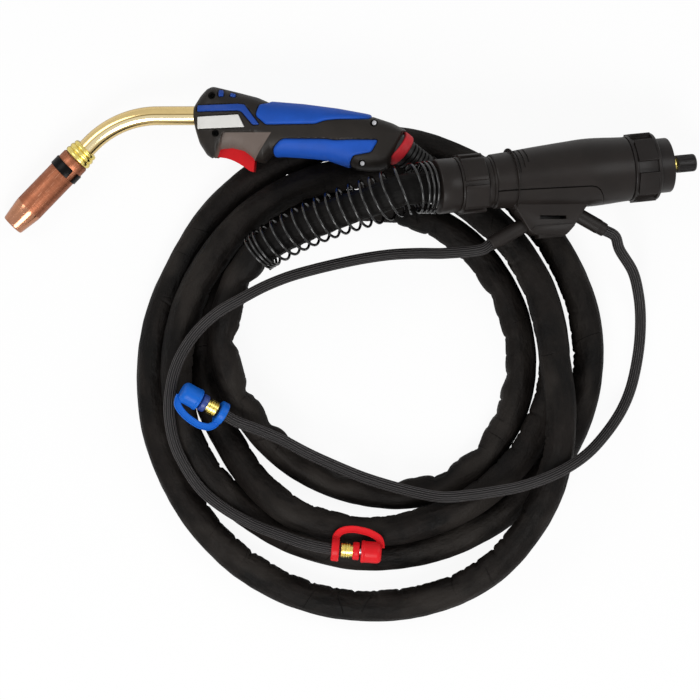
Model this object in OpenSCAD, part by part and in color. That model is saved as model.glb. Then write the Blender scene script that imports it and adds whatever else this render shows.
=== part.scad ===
// Water-cooled MIG/MAG welding torch: bent-neck gun, coiled hose package, machine connector and
// two capped water hoses, laid down flat. Millimetres, +Z up, the floor at z = 0.

/* [Gas nozzle and neck] */
// Length of the gas nozzle
nozzle_len = 76; // [66:1:86]
// Outside diameter of the nozzle body
nozzle_d = 24.5; // [23:0.5:27]
// Outside diameter of the nozzle at its mouth
nozzle_mouth_d = 19; // [18:0.5:21]
// Bore of the nozzle at its mouth
nozzle_bore_d = 16; // [13:0.5:16.5]
// Length of the taper behind the mouth
nozzle_taper = 19; // [12:1:26]
// Width of the retaining clip
clip_w = 8; // [5:1:12]
// Thickness of the retaining clip
clip_t = 1; // [0.8:0.1:1.5]
// Diameter of the neck tube
neck_d = 15.6; // [13:0.2:18]
// Bend of the neck, in degrees
neck_bend = 45.6; // [36:1:49]
// Bend radius of the neck's axis
neck_r = 78; // [60:1:82]
// Straight neck in front of the handle, up to the corner of the bend
neck_reach = 64; // [58:1:80]
// Axis length from the corner of the bend to the back of the nozzle
neck_drop = 50; // [47:1:62]
// Diameter of the brass collar's beads
collar_d = 24; // [22:0.5:28]
// Length of the brass collar
collar_len = 12.4; // [10:0.2:16]
// Diameter of the contact tip
tip_d = 8; // [6:0.5:9]
// Distance of the contact tip's end behind the nozzle's mouth
tip_recess = 3; // [1:0.5:6]

/* [Handle] */
// Length of the handle shells
handle_len = 174; // [165:1:185]
// Height of the handle's profile, from the hump to the heel
handle_high = 66; // [60:1:72]
// Thickness of the handle across its two shells
handle_thick = 38; // [34:1:42]
// How far the soft grips stand out of the shells
grip_lift = 1.3; // [0.8:0.1:2]
// How far the stripe and the label plate stand out of the shells
trim_lift = 0.6; // [0.4:0.1:1]
// Width of the trigger
trigger_w = 13; // [10:0.5:15]
// Play on each side of the trigger
trigger_play = 0.5; // [0.3:0.1:0.8]
// Diameter of the trigger's pivot pin
trigger_pin_d = 3; // [2:0.5:4]
// Head diameter of the shell screws
screw_head_d = 5.2; // [4:0.2:6.5]

/* [Swivel outlet] */
// Turn of the outlet towards the heel, in degrees
outlet_turn = 40; // [30:1:45]
// Dip of the outlet below the handle's plane, in degrees
outlet_dip = 22; // [10:1:24]
// Diameter of the red outlet ring
ring_d = 29; // [27:0.5:32]
// Width of the red outlet ring
ring_w = 8.5; // [6:0.5:11]
// Diameter of the bend relief boot
boot_d = 24; // [22:0.5:27]
// Length of the bend relief boot
boot_len = 24; // [18:1:30]
// Number of ribs on the boot
boot_ribs = 5; // [3:1:6]

/* [Main hose and spring] */
// Diameter of the main hose's jacket
hose_d = 26; // [24:0.5:26.4]
// Wire diameter of the support spring
spring_wire = 2; // [1.4:0.1:2.4]
// Outside diameter of the spring at the connector
spring_d = 44; // [40:1:46]
// Outside diameter of the spring at its free end
spring_end_d = 35; // [34:1:40]
// Number of curls of the spring
spring_curls = 20; // [14:1:24]
// Closed curls at each end of the spring
closed_curls = 3; // [2:1:4]

/* [Machine connector] */
// Diameter of the spring ferrule
ferrule_d = 45; // [43:0.5:46]
// Length of the spring ferrule
ferrule_len = 17.4; // [12:0.2:22]
// Length of the rear ring nut
ring_nut_len = 23; // [18:0.5:26]
// Diameter over the rear ring nut's lugs
ring_nut_d = 50; // [48:0.5:51]
// Number of lugs on the rear ring nut
ring_nut_lugs = 6; // [5:1:8]
// Length of the housing
housing_len = 121; // [112:1:130]
// Largest diameter of the housing
housing_d = 56; // [52:1:57]
// Thickness of the hose pod across the housing
pod_thick = 22; // [18:1:24]
// Width of the seam between housing and cover
seam = 0.2; // [0.1:0.1:0.4]
// Diameter of the strain reliefs
relief_d = 12.4; // [11.5:0.1:14]
// Diameter over the front nut's lugs
front_nut_d = 58; // [55:0.5:60]
// Number of lugs on the front nut
front_nut_lugs = 6; // [5:1:8]
// Length of the front nut's lugged ring
front_nut_len = 23; // [18:1:28]
// Diameter of the front nut's skirt
skirt_d = 45; // [43:0.5:48]
// Length of the front nut's skirt
skirt_len = 10; // [8:1:14]
// Thread bore of the front nut
thread_d = 39; // [36:0.5:40]
// Diameter of the brass block that enters the machine's socket
block_d = 30; // [28:0.5:32]
// Diameter of the inlet stem
stem_d = 10; // [9:0.2:11]
// Diameter of the stem cap
stem_cap_d = 14.5; // [13:0.5:18]
// Length of the stem cap
stem_cap_len = 17; // [14:1:20]
// Diameter of the spring contact pins
contact_d = 3.2; // [2.6:0.2:4]

/* [Water hoses] */
// Diameter of the water hoses
water_d = 9.2; // [8:0.2:9.6]
// Diameter of the brass ferrules, across corners
water_ferrule_d = 13; // [12:0.5:14]
// Diameter of the coloured collars
water_collar_d = 14.8; // [13:0.2:16]
// Diameter of the steel nipples
nipple_d = 5.8; // [5:0.2:6.6]
// Diameter of the dust caps
dust_cap_d = 18.5; // [17:0.5:19.5]
// Length of the dust caps
dust_cap_len = 17; // [14:0.5:19]
// Width of the dust cap straps
strap_w = 6; // [4:0.5:7]
// Thickness of the dust cap straps
strap_t = 2.8; // [1.6:0.2:4]

/* [Lie on the floor] */
// Slope of the gun, handle end up, in degrees
gun_tilt = 7.6; // [7.5:0.05:8]
// Slope of the connector, nut end down, in degrees
plug_tilt = 16.25; // [15.5:0.25:17]

/* [Hidden] */
$fn = 64;
slip = 0.05;    // radial clearance of a running fit
seat = 0.1;     // clearance of a piece that is seated and stays
gap = 0.3;      // clearance between pieces that move past each other

// ---- Vectors, turns and smooth lines ----
function unit(v) = v / norm(v);
function turn_y(p, a) = [p.x * cos(a) + p.z * sin(a), p.y, p.z * cos(a) - p.x * sin(a)];
function turn_z(p, a) = [p.x * cos(a) - p.y * sin(a), p.x * sin(a) + p.y * cos(a), p.z];
// Catmull-Rom value of a list at a fractional index
function smooth_at(list, t) =
    let (last = len(list) - 1, i = min(floor(t), last - 1), f = t - i,
         a = list[max(i - 1, 0)], b = list[i], c = list[i + 1], d = list[min(i + 2, last)])
    0.5 * (2 * b + (c - a) * f + (2 * a - 5 * b + 4 * c - d) * f * f + (3 * b - a - 3 * c + d) * f * f * f);
// A smooth line through a route's points, with the given number of steps between two of them
function smooth_line(route, steps) =
    [for (k = [0 : steps * (len(route) - 1)]) smooth_at(route, k / steps)];
function line_dir(line, i) = unit(line[min(i + 1, len(line) - 1)] - line[max(i - 1, 0)]);
function on_floor(p) = [p.x, p.y, max(p.z, 0)];

// ---- Tubes swept along a line ----
function tube_ring(p, dir, r, sides) =
    let (side = unit(cross(dir, [0, 0, 1])), up = cross(side, dir))
    [for (k = [0 : sides - 1])
        let (a = 360 * (k + (sides > 8 ? 0 : 0.5)) / sides)
        on_floor(p + r * (cos(a) * side + sin(a) * up))];
function ring_faces(rings, sides) = [
    for (i = [0 : rings - 2], k = [0 : sides - 1])
        let (a = i * sides + k, b = i * sides + (k + 1) % sides, c = a + sides, d = b + sides)
        each [[a, b, c], [b, d, c]]
];
function end_faces(rings, sides) = [
    for (k = [1 : sides - 2]) [0, k + 1, k],
    for (k = [1 : sides - 2]) let (e = (rings - 1) * sides) [e, e + k, e + k + 1]
];
module tube_solid(rings) {
    sides = len(rings[0]);
    faces = concat(ring_faces(len(rings), sides), end_faces(len(rings), sides));
    polyhedron([for (ring = rings) each ring], faces);
}
module swept_tube(line, d, sides) {
    tube_solid([for (i = [0 : len(line) - 1]) tube_ring(line[i], line_dir(line, i), d / 2, sides)]);
}

// ---- Places of the gun and the connector ----
gun_at = [-19.7, 36.57, 30.58];
plug_at = [177.7, -22.6, 81.7];
plug_turn = 5.55;
coil_at = [124.3, -164.6];
function gun_point(p) = gun_at + turn_y(p, -gun_tilt);
function plug_point(p) = plug_at + turn_z(turn_y(p, plug_tilt), plug_turn);
module at_gun() {
    translate(gun_at)
        rotate([0, -gun_tilt, 0])
            children();
}
module at_plug() {
    translate(plug_at)
        rotate([0, plug_tilt, plug_turn])
            children();
}
// A body of revolution about X, from [x, radius] corners
module turned(corners) {
    rotate([0, 90, 0])
        rotate_extrude()
            polygon([for (c = corners) [c[1], c[0]]]);
}
module rod(d, from, to) {
    translate([from, 0, 0])
        rotate([0, 90, 0])
            cylinder(d = d, h = to - from);
}

// ---- Neck and nozzle ----
bend_tangent = neck_r * tan(neck_bend / 2);
collar_from = neck_drop - collar_len;
clip_from = neck_drop + 8;
diffuser_d = 20;
diffuser_to = neck_drop + 26;
holder_d = 11;
holder_to = diffuser_to + 18;
tip_to = neck_drop + nozzle_len - tip_recess;
neck_socket = 26;       // length of the neck inside the handle
neck_step = 0.6;        // how much thinner the neck is there
wire_d = 1.4;
lap = 0.3;              // how far two pieces of one solid run into each other
bend_draw = 0.1;        // how much thinner the tube gets in its bend
// X runs from the corner of the bend along the nozzle's axis
module along_nozzle() {
    at_gun()
        translate([-neck_reach, 0, 0])
            rotate([0, 0, 180 + neck_bend])
                children();
}
clip_groove = 0.35;      // depth of the groove that the clip sits in
module gas_nozzle() {
    back = neck_drop + gap;
    front = neck_drop + nozzle_len;
    taper_from = front - nozzle_taper;
    clip_to = clip_from + clip_w;
    color([0.72, 0.45, 0.3])
        along_nozzle()
            turned([
                [back, nozzle_d / 2 - 1], [back + 1, nozzle_d / 2], [clip_from - seat, nozzle_d / 2],
                [clip_from - seat, nozzle_d / 2 - clip_groove], [clip_to + seat, nozzle_d / 2 - clip_groove],
                [clip_to + seat, nozzle_d / 2], [taper_from, nozzle_d / 2], [front, nozzle_mouth_d / 2],
                [front, nozzle_bore_d / 2], [taper_from, nozzle_bore_d / 2],
                [taper_from - 4, diffuser_d / 2 + slip], [back, diffuser_d / 2 + slip]
            ]);
}
module nozzle_clip() {
    color([0.08, 0.08, 0.08])
        along_nozzle()
            translate([clip_from, 0, 0])
                rotate([0, 90, 0])
                    rotate([0, 0, 155])
                        rotate_extrude(angle = 318)
                            translate([nozzle_d / 2 - clip_groove + slip, 0])
                                square([clip_t + clip_groove, clip_w]);
}
module contact_tip() {
    color([0.75, 0.45, 0.28])
        along_nozzle()
            difference() {
                turned([
                    [holder_to + seat, 0], [holder_to + seat, tip_d / 2], [tip_to - 4, tip_d / 2],
                    [tip_to, tip_d / 2 - 1.6], [tip_to, 0]
                ]);
                rod(wire_d, holder_to, tip_to + 1);
            }
}
module tip_holder() {
    color([0.78, 0.6, 0.3])
        along_nozzle()
            union() {
                rod(holder_d, diffuser_to + seat, holder_to);
                translate([diffuser_to + seat, 0, 0])
                    rotate([0, 90, 0])
                        cylinder(d = holder_d + 3, h = 8, $fn = 6);
            }
}
module gas_diffuser() {
    color([0.86, 0.82, 0.74])
        along_nozzle()
            difference() {
                rod(diffuser_d, neck_drop + seat, diffuser_to);
                for (i = [0 : 5])
                    rotate([60 * i, 0, 0])
                        translate([diffuser_to - 6, 0, diffuser_d / 2 - 3])
                            cylinder(d = 2, h = 4);
            }
}
bead_len = 5.6;          // length of the collar's rear bead
bead_groove = 0.8;       // groove between its two beads
function bead(from, to) = [
    [from, collar_d / 2 - 2], [from + 0.8, collar_d / 2 - 0.5], [from + 2, collar_d / 2],
    [to - 2, collar_d / 2], [to - 0.8, collar_d / 2 - 0.5], [to, collar_d / 2 - 2]
];
module neck_collar() {
    color([0.8, 0.62, 0.25])
        along_nozzle()
            turned(concat(
                [[collar_from, neck_d / 2 + seat]],
                bead(collar_from, collar_from + bead_len),
                bead(collar_from + bead_len + bead_groove, neck_drop),
                [[neck_drop, 0], [neck_drop - 3, 0], [neck_drop - 3, neck_d / 2 + seat]]
            ));
}
module neck_tube() {
    color([0.78, 0.6, 0.27])
        union() {
            at_gun()
                union() {
                    rod(neck_d - neck_step, -1, neck_socket);
                    rod(neck_d, bend_tangent - neck_reach - lap, -gap);
                    translate([bend_tangent - neck_reach, -neck_r, 0])
                        rotate([0, 0, 90])
                            rotate_extrude(angle = neck_bend)
                                translate([neck_r, 0])
                                    circle(d = neck_d - bend_draw);
                }
            along_nozzle()
                rod(neck_d, bend_tangent - lap, neck_drop - 3 - seat);
        }
}

// ---- Handle shells ----
// The profile's top and bottom edges and its half thickness, as shares of length, height and thickness
profile_top = [
    [0, 0.12], [0.03, 0.25], [0.06, 0.335], [0.085, 0.362], [0.11, 0.348], [0.2, 0.29], [0.3, 0.222],
    [0.36, 0.152], [0.52, 0.117], [0.68, 0.062], [0.85, -0.02], [0.94, -0.098], [1, -0.18]
];
profile_bottom = [
    [0, -0.1], [0.008, -0.2], [0.026, -0.356], [0.06, -0.495], [0.08, -0.53], [0.108, -0.553],
    [0.127, -0.474], [0.183, -0.455], [0.24, -0.49], [0.283, -0.574], [0.335, -0.6], [0.37, -0.5],
    [0.43, -0.495], [0.56, -0.518], [0.64, -0.545], [0.725, -0.624], [0.745, -0.64], [0.78, -0.685], [0.83, -0.7],
    [0.89, -0.695], [0.925, -0.665], [0.94, -0.6], [0.965, -0.45], [0.99, -0.28], [1, -0.2]
];
profile_half = [
    [0, 0.6], [0.025, 0.76], [0.07, 0.9], [0.17, 1], [0.6, 1], [0.85, 0.93], [0.95, 0.85], [1, 0.78]
];
stations = [
    0, 0.008, 0.026, 0.045, 0.06, 0.08, 0.095, 0.108, 0.127, 0.183, 0.24, 0.283, 0.31, 0.335, 0.37, 0.43, 0.5,
    0.56, 0.64, 0.725, 0.745, 0.78, 0.83, 0.89, 0.925, 0.94, 0.965, 0.99, 1
];
section_power = 2.6;    // 2 gives oval sections, more gives squarer ones
section_steps = 14;
function sgn_pow(v, p) = sign(v) * pow(abs(v), p);
function at_stations(table) = [for (s = stations) [s, lookup(s, table)]];
top_table = at_stations(profile_top);
bottom_table = at_stations(profile_bottom);
half_table = at_stations(profile_half);
function edge_top(x) = handle_high * lookup(x / handle_len, top_table);
function edge_bottom(x) = handle_high * lookup(x / handle_len, bottom_table);
function half_thick(x) = handle_thick / 2 * lookup(x / handle_len, half_table);
// A point of the shell's outside: a is 0 on the bottom edge, 90 on the side and 180 on the top edge
function skin(x, a, lift) =
    let (mid = (edge_top(x) + edge_bottom(x)) / 2, half = (edge_top(x) - edge_bottom(x)) / 2 + lift)
    [
        x,
        mid - half * sgn_pow(cos(a), 2 / section_power),
        (half_thick(x) + lift) * pow(max(sin(a), 0), 2 / section_power)
    ];
function skin_angle(x, y) =
    let (mid = (edge_top(x) + edge_bottom(x)) / 2, half = (edge_top(x) - edge_bottom(x)) / 2,
         c = max(-0.998, min(0.998, (mid - y) / half)))
    acos(sgn_pow(c, section_power / 2));
function skin_height(x, y) = skin(x, skin_angle(x, y), 0).z;

stretch = handle_len / 174;         // of the places along the handle
trigger_at = [18.6, -31];           // pivot of the trigger
pin_end = trigger_w / 2 + trigger_play + 3.5;   // end of its pin, in the shells
slot_from = 14.6;
slot_to = 52;
slot_top = -19;
outlet_at = [167.9 * stretch, -26.3];
ring_from = -2.5;
ball_d = 24;
switch_size = [20, 7, 6.5];
screw_places = [
    [15.6 * stretch, 16.4], [19.2 * stretch, -14.6], [150.2 * stretch, -6.4], [140.6 * stretch, -39.6]
];
screw_depth = 3;                    // depth of a screw's head below the skin
screw_shank_d = 2.6;
module at_outlet() {
    translate([outlet_at.x, outlet_at.y, 0])
        rotate([0, outlet_dip, -outlet_turn])
            children();
}
module half_shell() {
    rings = [for (s = stations) let (x = s * handle_len)
        [for (k = [0 : section_steps]) skin(x, 180 * k / section_steps, 0)]];
    tube_solid(rings);
}
module shell_voids() {
    rod(neck_d - neck_step + 2 * slip, -1, neck_socket + seat);
    translate([slot_from, -60, -trigger_w / 2 - trigger_play])
        cube([slot_to - slot_from, 60 + slot_top, trigger_w + 2 * trigger_play]);
    translate([trigger_at.x, trigger_at.y, -pin_end - seat])
        cylinder(d = trigger_pin_d + 2 * slip, h = 2 * (pin_end + seat));
    translate([slot_to - switch_size.x - seat, slot_top - 1, -switch_size.z / 2 - seat])
        cube([switch_size.x + 2 * seat, switch_size.y + 1 + seat, switch_size.z + 2 * seat]);
    at_outlet() {
        rod(ring_d + 2 * seat, ring_from - seat, 40);
        sphere(d = ball_d + 2 * seat);
    }
    for (p = screw_places)
        translate([p.x, p.y, 0]) {
            translate([0, 0, skin_height(p.x, p.y) - screw_depth])
                cylinder(d = screw_head_d + 2 * seat, h = 20);
            translate([0, 0, -skin_height(p.x, p.y) + 4])
                cylinder(d = screw_shank_d + 2 * slip, h = 30);
        }
}
module upper_shell() {
    color([0.16, 0.16, 0.17])
        at_gun()
            difference() {
                half_shell();
                shell_voids();
            }
}
module lower_shell() {
    color([0.16, 0.16, 0.17])
        at_gun()
            difference() {
                mirror([0, 0, 1])
                    half_shell();
                shell_voids();
            }
}

// ---- Trim that follows the shell's skin ----
// Rows of [x, low y, high y] bound a patch of the skin
skin_gap = 0.35;
least_row = 0.5;        // least distance between two rows
function sorted(v) = len(v) < 2 ? v :
    concat(sorted([for (x = v) if (x < v[0]) x]), [v[0]], sorted([for (x = v) if (x > v[0]) x]));
function far_from(x, rows) = min([for (row = rows) abs(row[0] * stretch - x)]) > least_row;
// The same patch with a further row at each of the shell's stations
function full_rows(rows) =
    let (low = [for (row = rows) [row[0] * stretch, row[1]]], high = [for (row = rows) [row[0] * stretch, row[2]]],
         from = low[0][0], to = low[len(low) - 1][0],
         more = [for (s = stations) let (x = s * handle_len) if (x > from && x < to && far_from(x, rows)) x])
    [for (x = sorted(concat([for (p = low) p[0]], more))) [x, lookup(x, low), lookup(x, high)]];
function patch_row(row, lift, steps) =
    let (a = skin_angle(row[0], row[1]), b = skin_angle(row[0], row[2]))
    [for (k = [0 : steps]) skin(row[0], a + (b - a) * k / steps, lift)];
module skin_patch(rows, lift, steps) {
    tube_solid([for (row = full_rows(rows))
        let (under = patch_row(row, skin_gap, steps))
        concat(patch_row(row, skin_gap + lift, steps), [for (k = [steps : -1 : 0]) under[k]])]);
}
module both_ways(upper) {
    at_gun()
        mirror([0, 0, upper ? 0 : 1])
            children();
}
top_grip_rows = [
    [52.8, -0.2, 2.6], [54.2, -1.5, 8], [56, -3.2, 8.8], [60.2, -6.8, 9.2], [61.2, -7.2, 9.8], [62, -7.3, 10.1],
    [63, -7.4, 30], [78, -7.2, 30],
    [101.9, -6.7, 30], [110.2, -3.8, 30], [120.6, -2.8, 30], [139, -2.7, 30], [145.5, -2.6, 30]
];
heel_grip_rows = [
    [66.1, -31, -29], [66.8, -32.3, -27.8], [67.4, -60, -26.6], [69.4, -60, -23.6], [73, -60, -20.6], [76, -60, -19.5],
    [110.2, -60, -19.7], [118.5, -60, -20.7], [127.2, -60, -20.4], [128.6, -41.4, -20.3], [129.4, -40.4, -20.3],
    [130.4, -38.6, -20.2], [131.6, -36.2, -20.2], [133.3, -33.4, -20.2], [148.4, -30.4, -20.2], [153.6, -22, -20.6]
];
stripe_rows = [
    [3.2, 3.4, 8], [12, 3.6, 8.5], [36.5, 4.3, 9.3], [40.7, 3.4, 9.1], [43.3, 0.4, 8.4], [46, -2.7, 5],
    [50.4, -7.7, -0.6], [52.6, -7.7, -3.4], [55, -7.5, -6.5]
];
label_rows = [
    [3.4, -11.1, -1], [12, -10.9, -0.6], [23, -10.5, 0], [38.3, -9.9, 0.8], [41, -9.8, -4.5], [43, -9.7, -8.7]
];
module top_grip(upper) {
    color([0.1, 0.27, 0.65])
        both_ways(upper)
            skin_patch(top_grip_rows, grip_lift, 6);
}
module heel_grip(upper) {
    color([0.1, 0.27, 0.65])
        both_ways(upper)
            skin_patch(heel_grip_rows, grip_lift, 6);
}
module stripe(upper) {
    color([0.1, 0.27, 0.65])
        both_ways(upper)
            skin_patch(stripe_rows, trim_lift, 2);
}
module top_grip_upper() { top_grip(true); }
module top_grip_lower() { top_grip(false); }
module heel_grip_upper() { heel_grip(true); }
module heel_grip_lower() { heel_grip(false); }
module stripe_upper() { stripe(true); }
module stripe_lower() { stripe(false); }
module label_plate() {
    color([0.93, 0.93, 0.9])
        both_ways(true)
            skin_patch(label_rows, trim_lift, 3);
}
window_w = 4;
module hump_window(x, low, high) {
    color([0.12, 0.3, 0.7])
        both_ways(true)
            skin_patch([[x - window_w / 2, low, high], [x + window_w / 2, low, high]], trim_lift, 2);
}
module hump_window_1() { hump_window(23.3, 16, 20.2); }
module hump_window_2() { hump_window(33, 15.4, 17.6); }

// ---- Trigger ----
module trigger() {
    color([0.84, 0.12, 0.14])
        at_gun()
            translate([0, 0, -trigger_w / 2])
                linear_extrude(trigger_w)
                    difference() {
                        polygon([
                            [15.2, -31], [16, -28], [18.6, -26.6], [30, -25], [37, -25], [38, -22.6],
                            [43, -22.6], [44, -25], [50.6, -29], [50.4, -38], [49.4, -46.6], [46.5, -45.8],
                            [40.5, -41.6], [33.5, -37.6], [26.5, -35.2], [19.8, -34.4], [16.6, -33.6]
                        ]);
                        translate(trigger_at)
                            circle(d = trigger_pin_d + 2 * slip);
                    }
}
module trigger_pin() {
    color([0.7, 0.7, 0.72])
        at_gun()
            translate([trigger_at.x, trigger_at.y, -pin_end])
                cylinder(d = trigger_pin_d, h = 2 * pin_end);
}
module trigger_spring() {
    color([0.6, 0.6, 0.62])
        at_gun()
            translate([25, -25.2, 0])
                rotate([-90, 0, 0])
                    difference() {
                        cylinder(d = 5, h = slot_top + 25.2 - seat);
                        translate([0, 0, -1])
                            cylinder(d = 3.4, h = 9);
                    }
}
module micro_switch() {
    color([0.1, 0.1, 0.1])
        at_gun()
            translate([slot_to - switch_size.x, slot_top, -switch_size.z / 2])
                cube(switch_size);
}
module shell_screw(i) {
    p = screw_places[i];
    top = skin_height(p.x, p.y) - screw_depth;
    color([0.55, 0.55, 0.57])
        at_gun()
            difference() {
                translate([p.x, p.y, 0]) {
                    translate([0, 0, top + slip])
                        cylinder(d = screw_head_d, h = 2.2);
                    translate([0, 0, -8])
                        cylinder(d = screw_shank_d, h = top + 9);
                }
                translate([p.x, p.y, top + 1])
                    cylinder(d = 2.4, h = 3, $fn = 6);
            }
}
module shell_screw_1() { shell_screw(0); }
module shell_screw_2() { shell_screw(1); }
module shell_screw_3() { shell_screw(2); }
module shell_screw_4() { shell_screw(3); }

// ---- Swivel outlet ----
ring_to = ring_from + ring_w;
boot_to = ring_to + boot_len;
boot_pitch = (boot_len - 6) / boot_ribs;
module outlet_ball() {
    color([0.1, 0.1, 0.1])
        at_gun()
            at_outlet()
                intersection() {
                    sphere(d = ball_d);
                    rod(ball_d, -ball_d, ring_from + 3);
                }
}
module outlet_ring() {
    color([0.68, 0.18, 0.2])
        at_gun()
            at_outlet()
                turned([
                    [ring_from, ball_d / 2 + seat], [ring_from, ring_d / 2 - 1.2],
                    [ring_from + 1.2, ring_d / 2],
                    [ring_to - 1.6, ring_d / 2], [ring_to, ring_d / 2 - 1.6], [ring_to, boot_d / 2 - 3],
                    [ring_from + 3 + seat, boot_d / 2 - 3], [ring_from + 3 + seat, ball_d / 2 + seat]
                ]);
}
module bend_boot() {
    color([0.06, 0.06, 0.06])
        at_gun()
            at_outlet()
                turned(concat(
                    [[ring_from + 3 + seat, 0], [ring_from + 3 + seat, boot_d / 2 - 3 - seat],
                     [ring_to + seat, boot_d / 2 - 3 - seat], [ring_to + seat, boot_d / 2]],
                    [for (i = [0 : boot_ribs - 1]) let (x = ring_to + 3 + boot_pitch * i)
                        each [[x, boot_d / 2], [x + boot_pitch * 0.1, boot_d / 2 - 1.4],
                              [x + boot_pitch * 0.4, boot_d / 2 - 1.4], [x + boot_pitch * 0.5, boot_d / 2]]],
                    [[boot_to, boot_d / 2], [boot_to, 0]]
                ));
}
function outlet_point(x) =
    gun_point([outlet_at.x, outlet_at.y, 0] + turn_z(turn_y([x, 0, 0], outlet_dip), -outlet_turn));

// ---- Main hose: one tube that winds in four loops from the boot to the connector ----
// One row for each loop and one value every 30 degrees, clockwise seen from above
loop_reach = [
    [152, 151, 152, 176, 199, 203, 198, 188, 179, 173, 178, 180.5],
    [180, 178.5, 180, 173, 164, 160.5, 160, 163, 159, 154, 154.3, 154],
    [152.5, 151, 151.5, 148, 142.5, 141, 140, 134, 138, 137, 133, 127],
    [125, 123.5, 124, 123.5, 120, 108, 104, 107, 119, 127]
];
lying = hose_d * 0.385; // height of the axis where the hose lies on the floor and is pressed flat
loop_height = [
    [37, 39, 41, 41, 25, lying, lying, lying, lying, lying, lying, lying],
    [lying, lying, lying, lying, lying, lying, lying, 21.3, 29.6, 31, 29.4, 14.6],
    [lying, lying, 12, 22.5, 28, 30, 34, 15, lying, lying, lying, lying],
    [lying, lying, lying, lying, lying, lying, 14, 25, 35, 41.5]
];
loop_start = -60;
loop_step = 30;
ring_step = 15;
reach_list = [for (row = loop_reach) each row];
height_list = [for (row = loop_height) each row];
function loop_point(a) =
    let (t = (a - loop_start) / loop_step, r = smooth_at(reach_list, t))
    [coil_at.x + r * cos(a), coil_at.y - r * sin(a), smooth_at(height_list, t)];
loop_end = loop_start + loop_step * (len(reach_list) - 1);
loop_line = [for (a = [loop_start : ring_step : loop_end]) loop_point(a)];
// The rise through the support spring to the connector
rise_route = [
    loop_line[len(loop_line) - 1], [29.8, -79, 49.5], [50.5, -65, 57.5], [73, -53.5, 66.5], [98, -43.5, 75],
    [125, -34.5, 82.5], plug_point([-hose_d, 0, 0]), plug_point([0, 0, 0])
];
rise_line = smooth_line(rise_route, 2);
rise_fine = smooth_line(rise_route, 8);
function run(line, n) = n == 0 ? 0 : run(line, n - 1) + norm(line[n] - line[n - 1]);
rise_table = [for (k = [0 : len(rise_fine) - 1]) [run(rise_fine, k), k / 8]];
rise_len = rise_table[len(rise_table) - 1][0];
// The point of the rise at a distance before the connector's end
function rise_point(back) = smooth_at(rise_route, lookup(rise_len - back, rise_table));
main_line = concat(
    [outlet_point(boot_to), outlet_point(boot_to + hose_d * 0.6)],
    loop_line,
    [for (i = [1 : len(rise_line) - 2]) rise_line[i]],
    [plug_point([-hose_d * 0.1, 0, 0]), plug_point([0, 0, 0])]
);
module main_hose() {
    color([0.11, 0.1, 0.09])
        swept_tube(main_line, hose_d, 12);
}
// Least distance between two points of a line that are farther apart along it than a number of its steps
function least_gap(line, apart, d) =
    min([for (i = [0 : len(line) - 1 - apart], j = [i + apart : len(line) - 1]) norm(line[i] - line[j])]) - d;
function between(line) = [for (i = [0 : len(line) - 2]) each [line[i], (line[i] + line[i + 1]) / 2]];
echo(main_hose_least_gap = least_gap(between(main_line), 20, hose_d));

// ---- Support spring ----
spring_steps = 8;
spring_sides = 6;
spring_len = 161;
closed_pitch = spring_wire + 1.6;
open_pitch = (spring_len - 2 * closed_curls * closed_pitch) / (spring_curls - 2 * closed_curls);
tang_len = 4.2;         // the wire's last bit, which runs into the ferrule's face
// Distance from the connector's end after a number of curls
function curl_back(n) =
    tang_len + spring_len - closed_pitch * (min(n, closed_curls) + max(0, n - (spring_curls - closed_curls)))
    - open_pitch * max(0, min(n, spring_curls - closed_curls) - closed_curls);
function curl_frame(back) =
    let (dir = unit(rise_point(max(back - 0.5, 0)) - rise_point(back + 0.5)),
         side = unit(cross(dir, [0, 0, 1])))
    [dir, side, cross(side, dir)];
function curl_out(n) = let (f = curl_frame(curl_back(n)), a = 360 * n) cos(a) * f[1] - sin(a) * f[2];
function curl_radius(n) = (spring_end_d + (spring_d - spring_end_d) * n / spring_curls - spring_wire) / 2;
function curl_point(n) = rise_point(curl_back(n)) + curl_out(n) * curl_radius(n);
coil_line = [for (k = [0 : spring_steps * spring_curls]) curl_point(k / spring_steps)];
coil_out = [for (k = [0 : spring_steps * spring_curls]) curl_out(k / spring_steps)];
tang_from = coil_line[len(coil_line) - 1];
tang_frame = curl_frame(tang_len);
tang_steps = [[1.3, 0.5], [2.2, 1.7], [2.3, tang_len + 0.35]];  // its points, [inwards, along]
spring_line = concat(coil_line, [
    for (p = tang_steps) tang_from - p[0] * tang_frame[2] + p[1] * tang_frame[0]
]);
spring_out = concat(coil_out, [for (p = tang_steps) tang_frame[1]]);
function wire_ring(i) =
    let (dir = line_dir(spring_line, i), up = unit(cross(spring_out[i], dir)), side = cross(dir, up))
    [for (k = [0 : spring_sides - 1]) let (a = 360 * k / spring_sides)
        spring_line[i] + spring_wire / 2 * (cos(a) * side + sin(a) * up)];
module support_spring() {
    color([0.05, 0.05, 0.05])
        tube_solid([for (i = [0 : len(spring_line) - 1]) wire_ring(i)]);
}
echo(support_spring_least_gap = least_gap(between(spring_line), 10, spring_wire));

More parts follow.
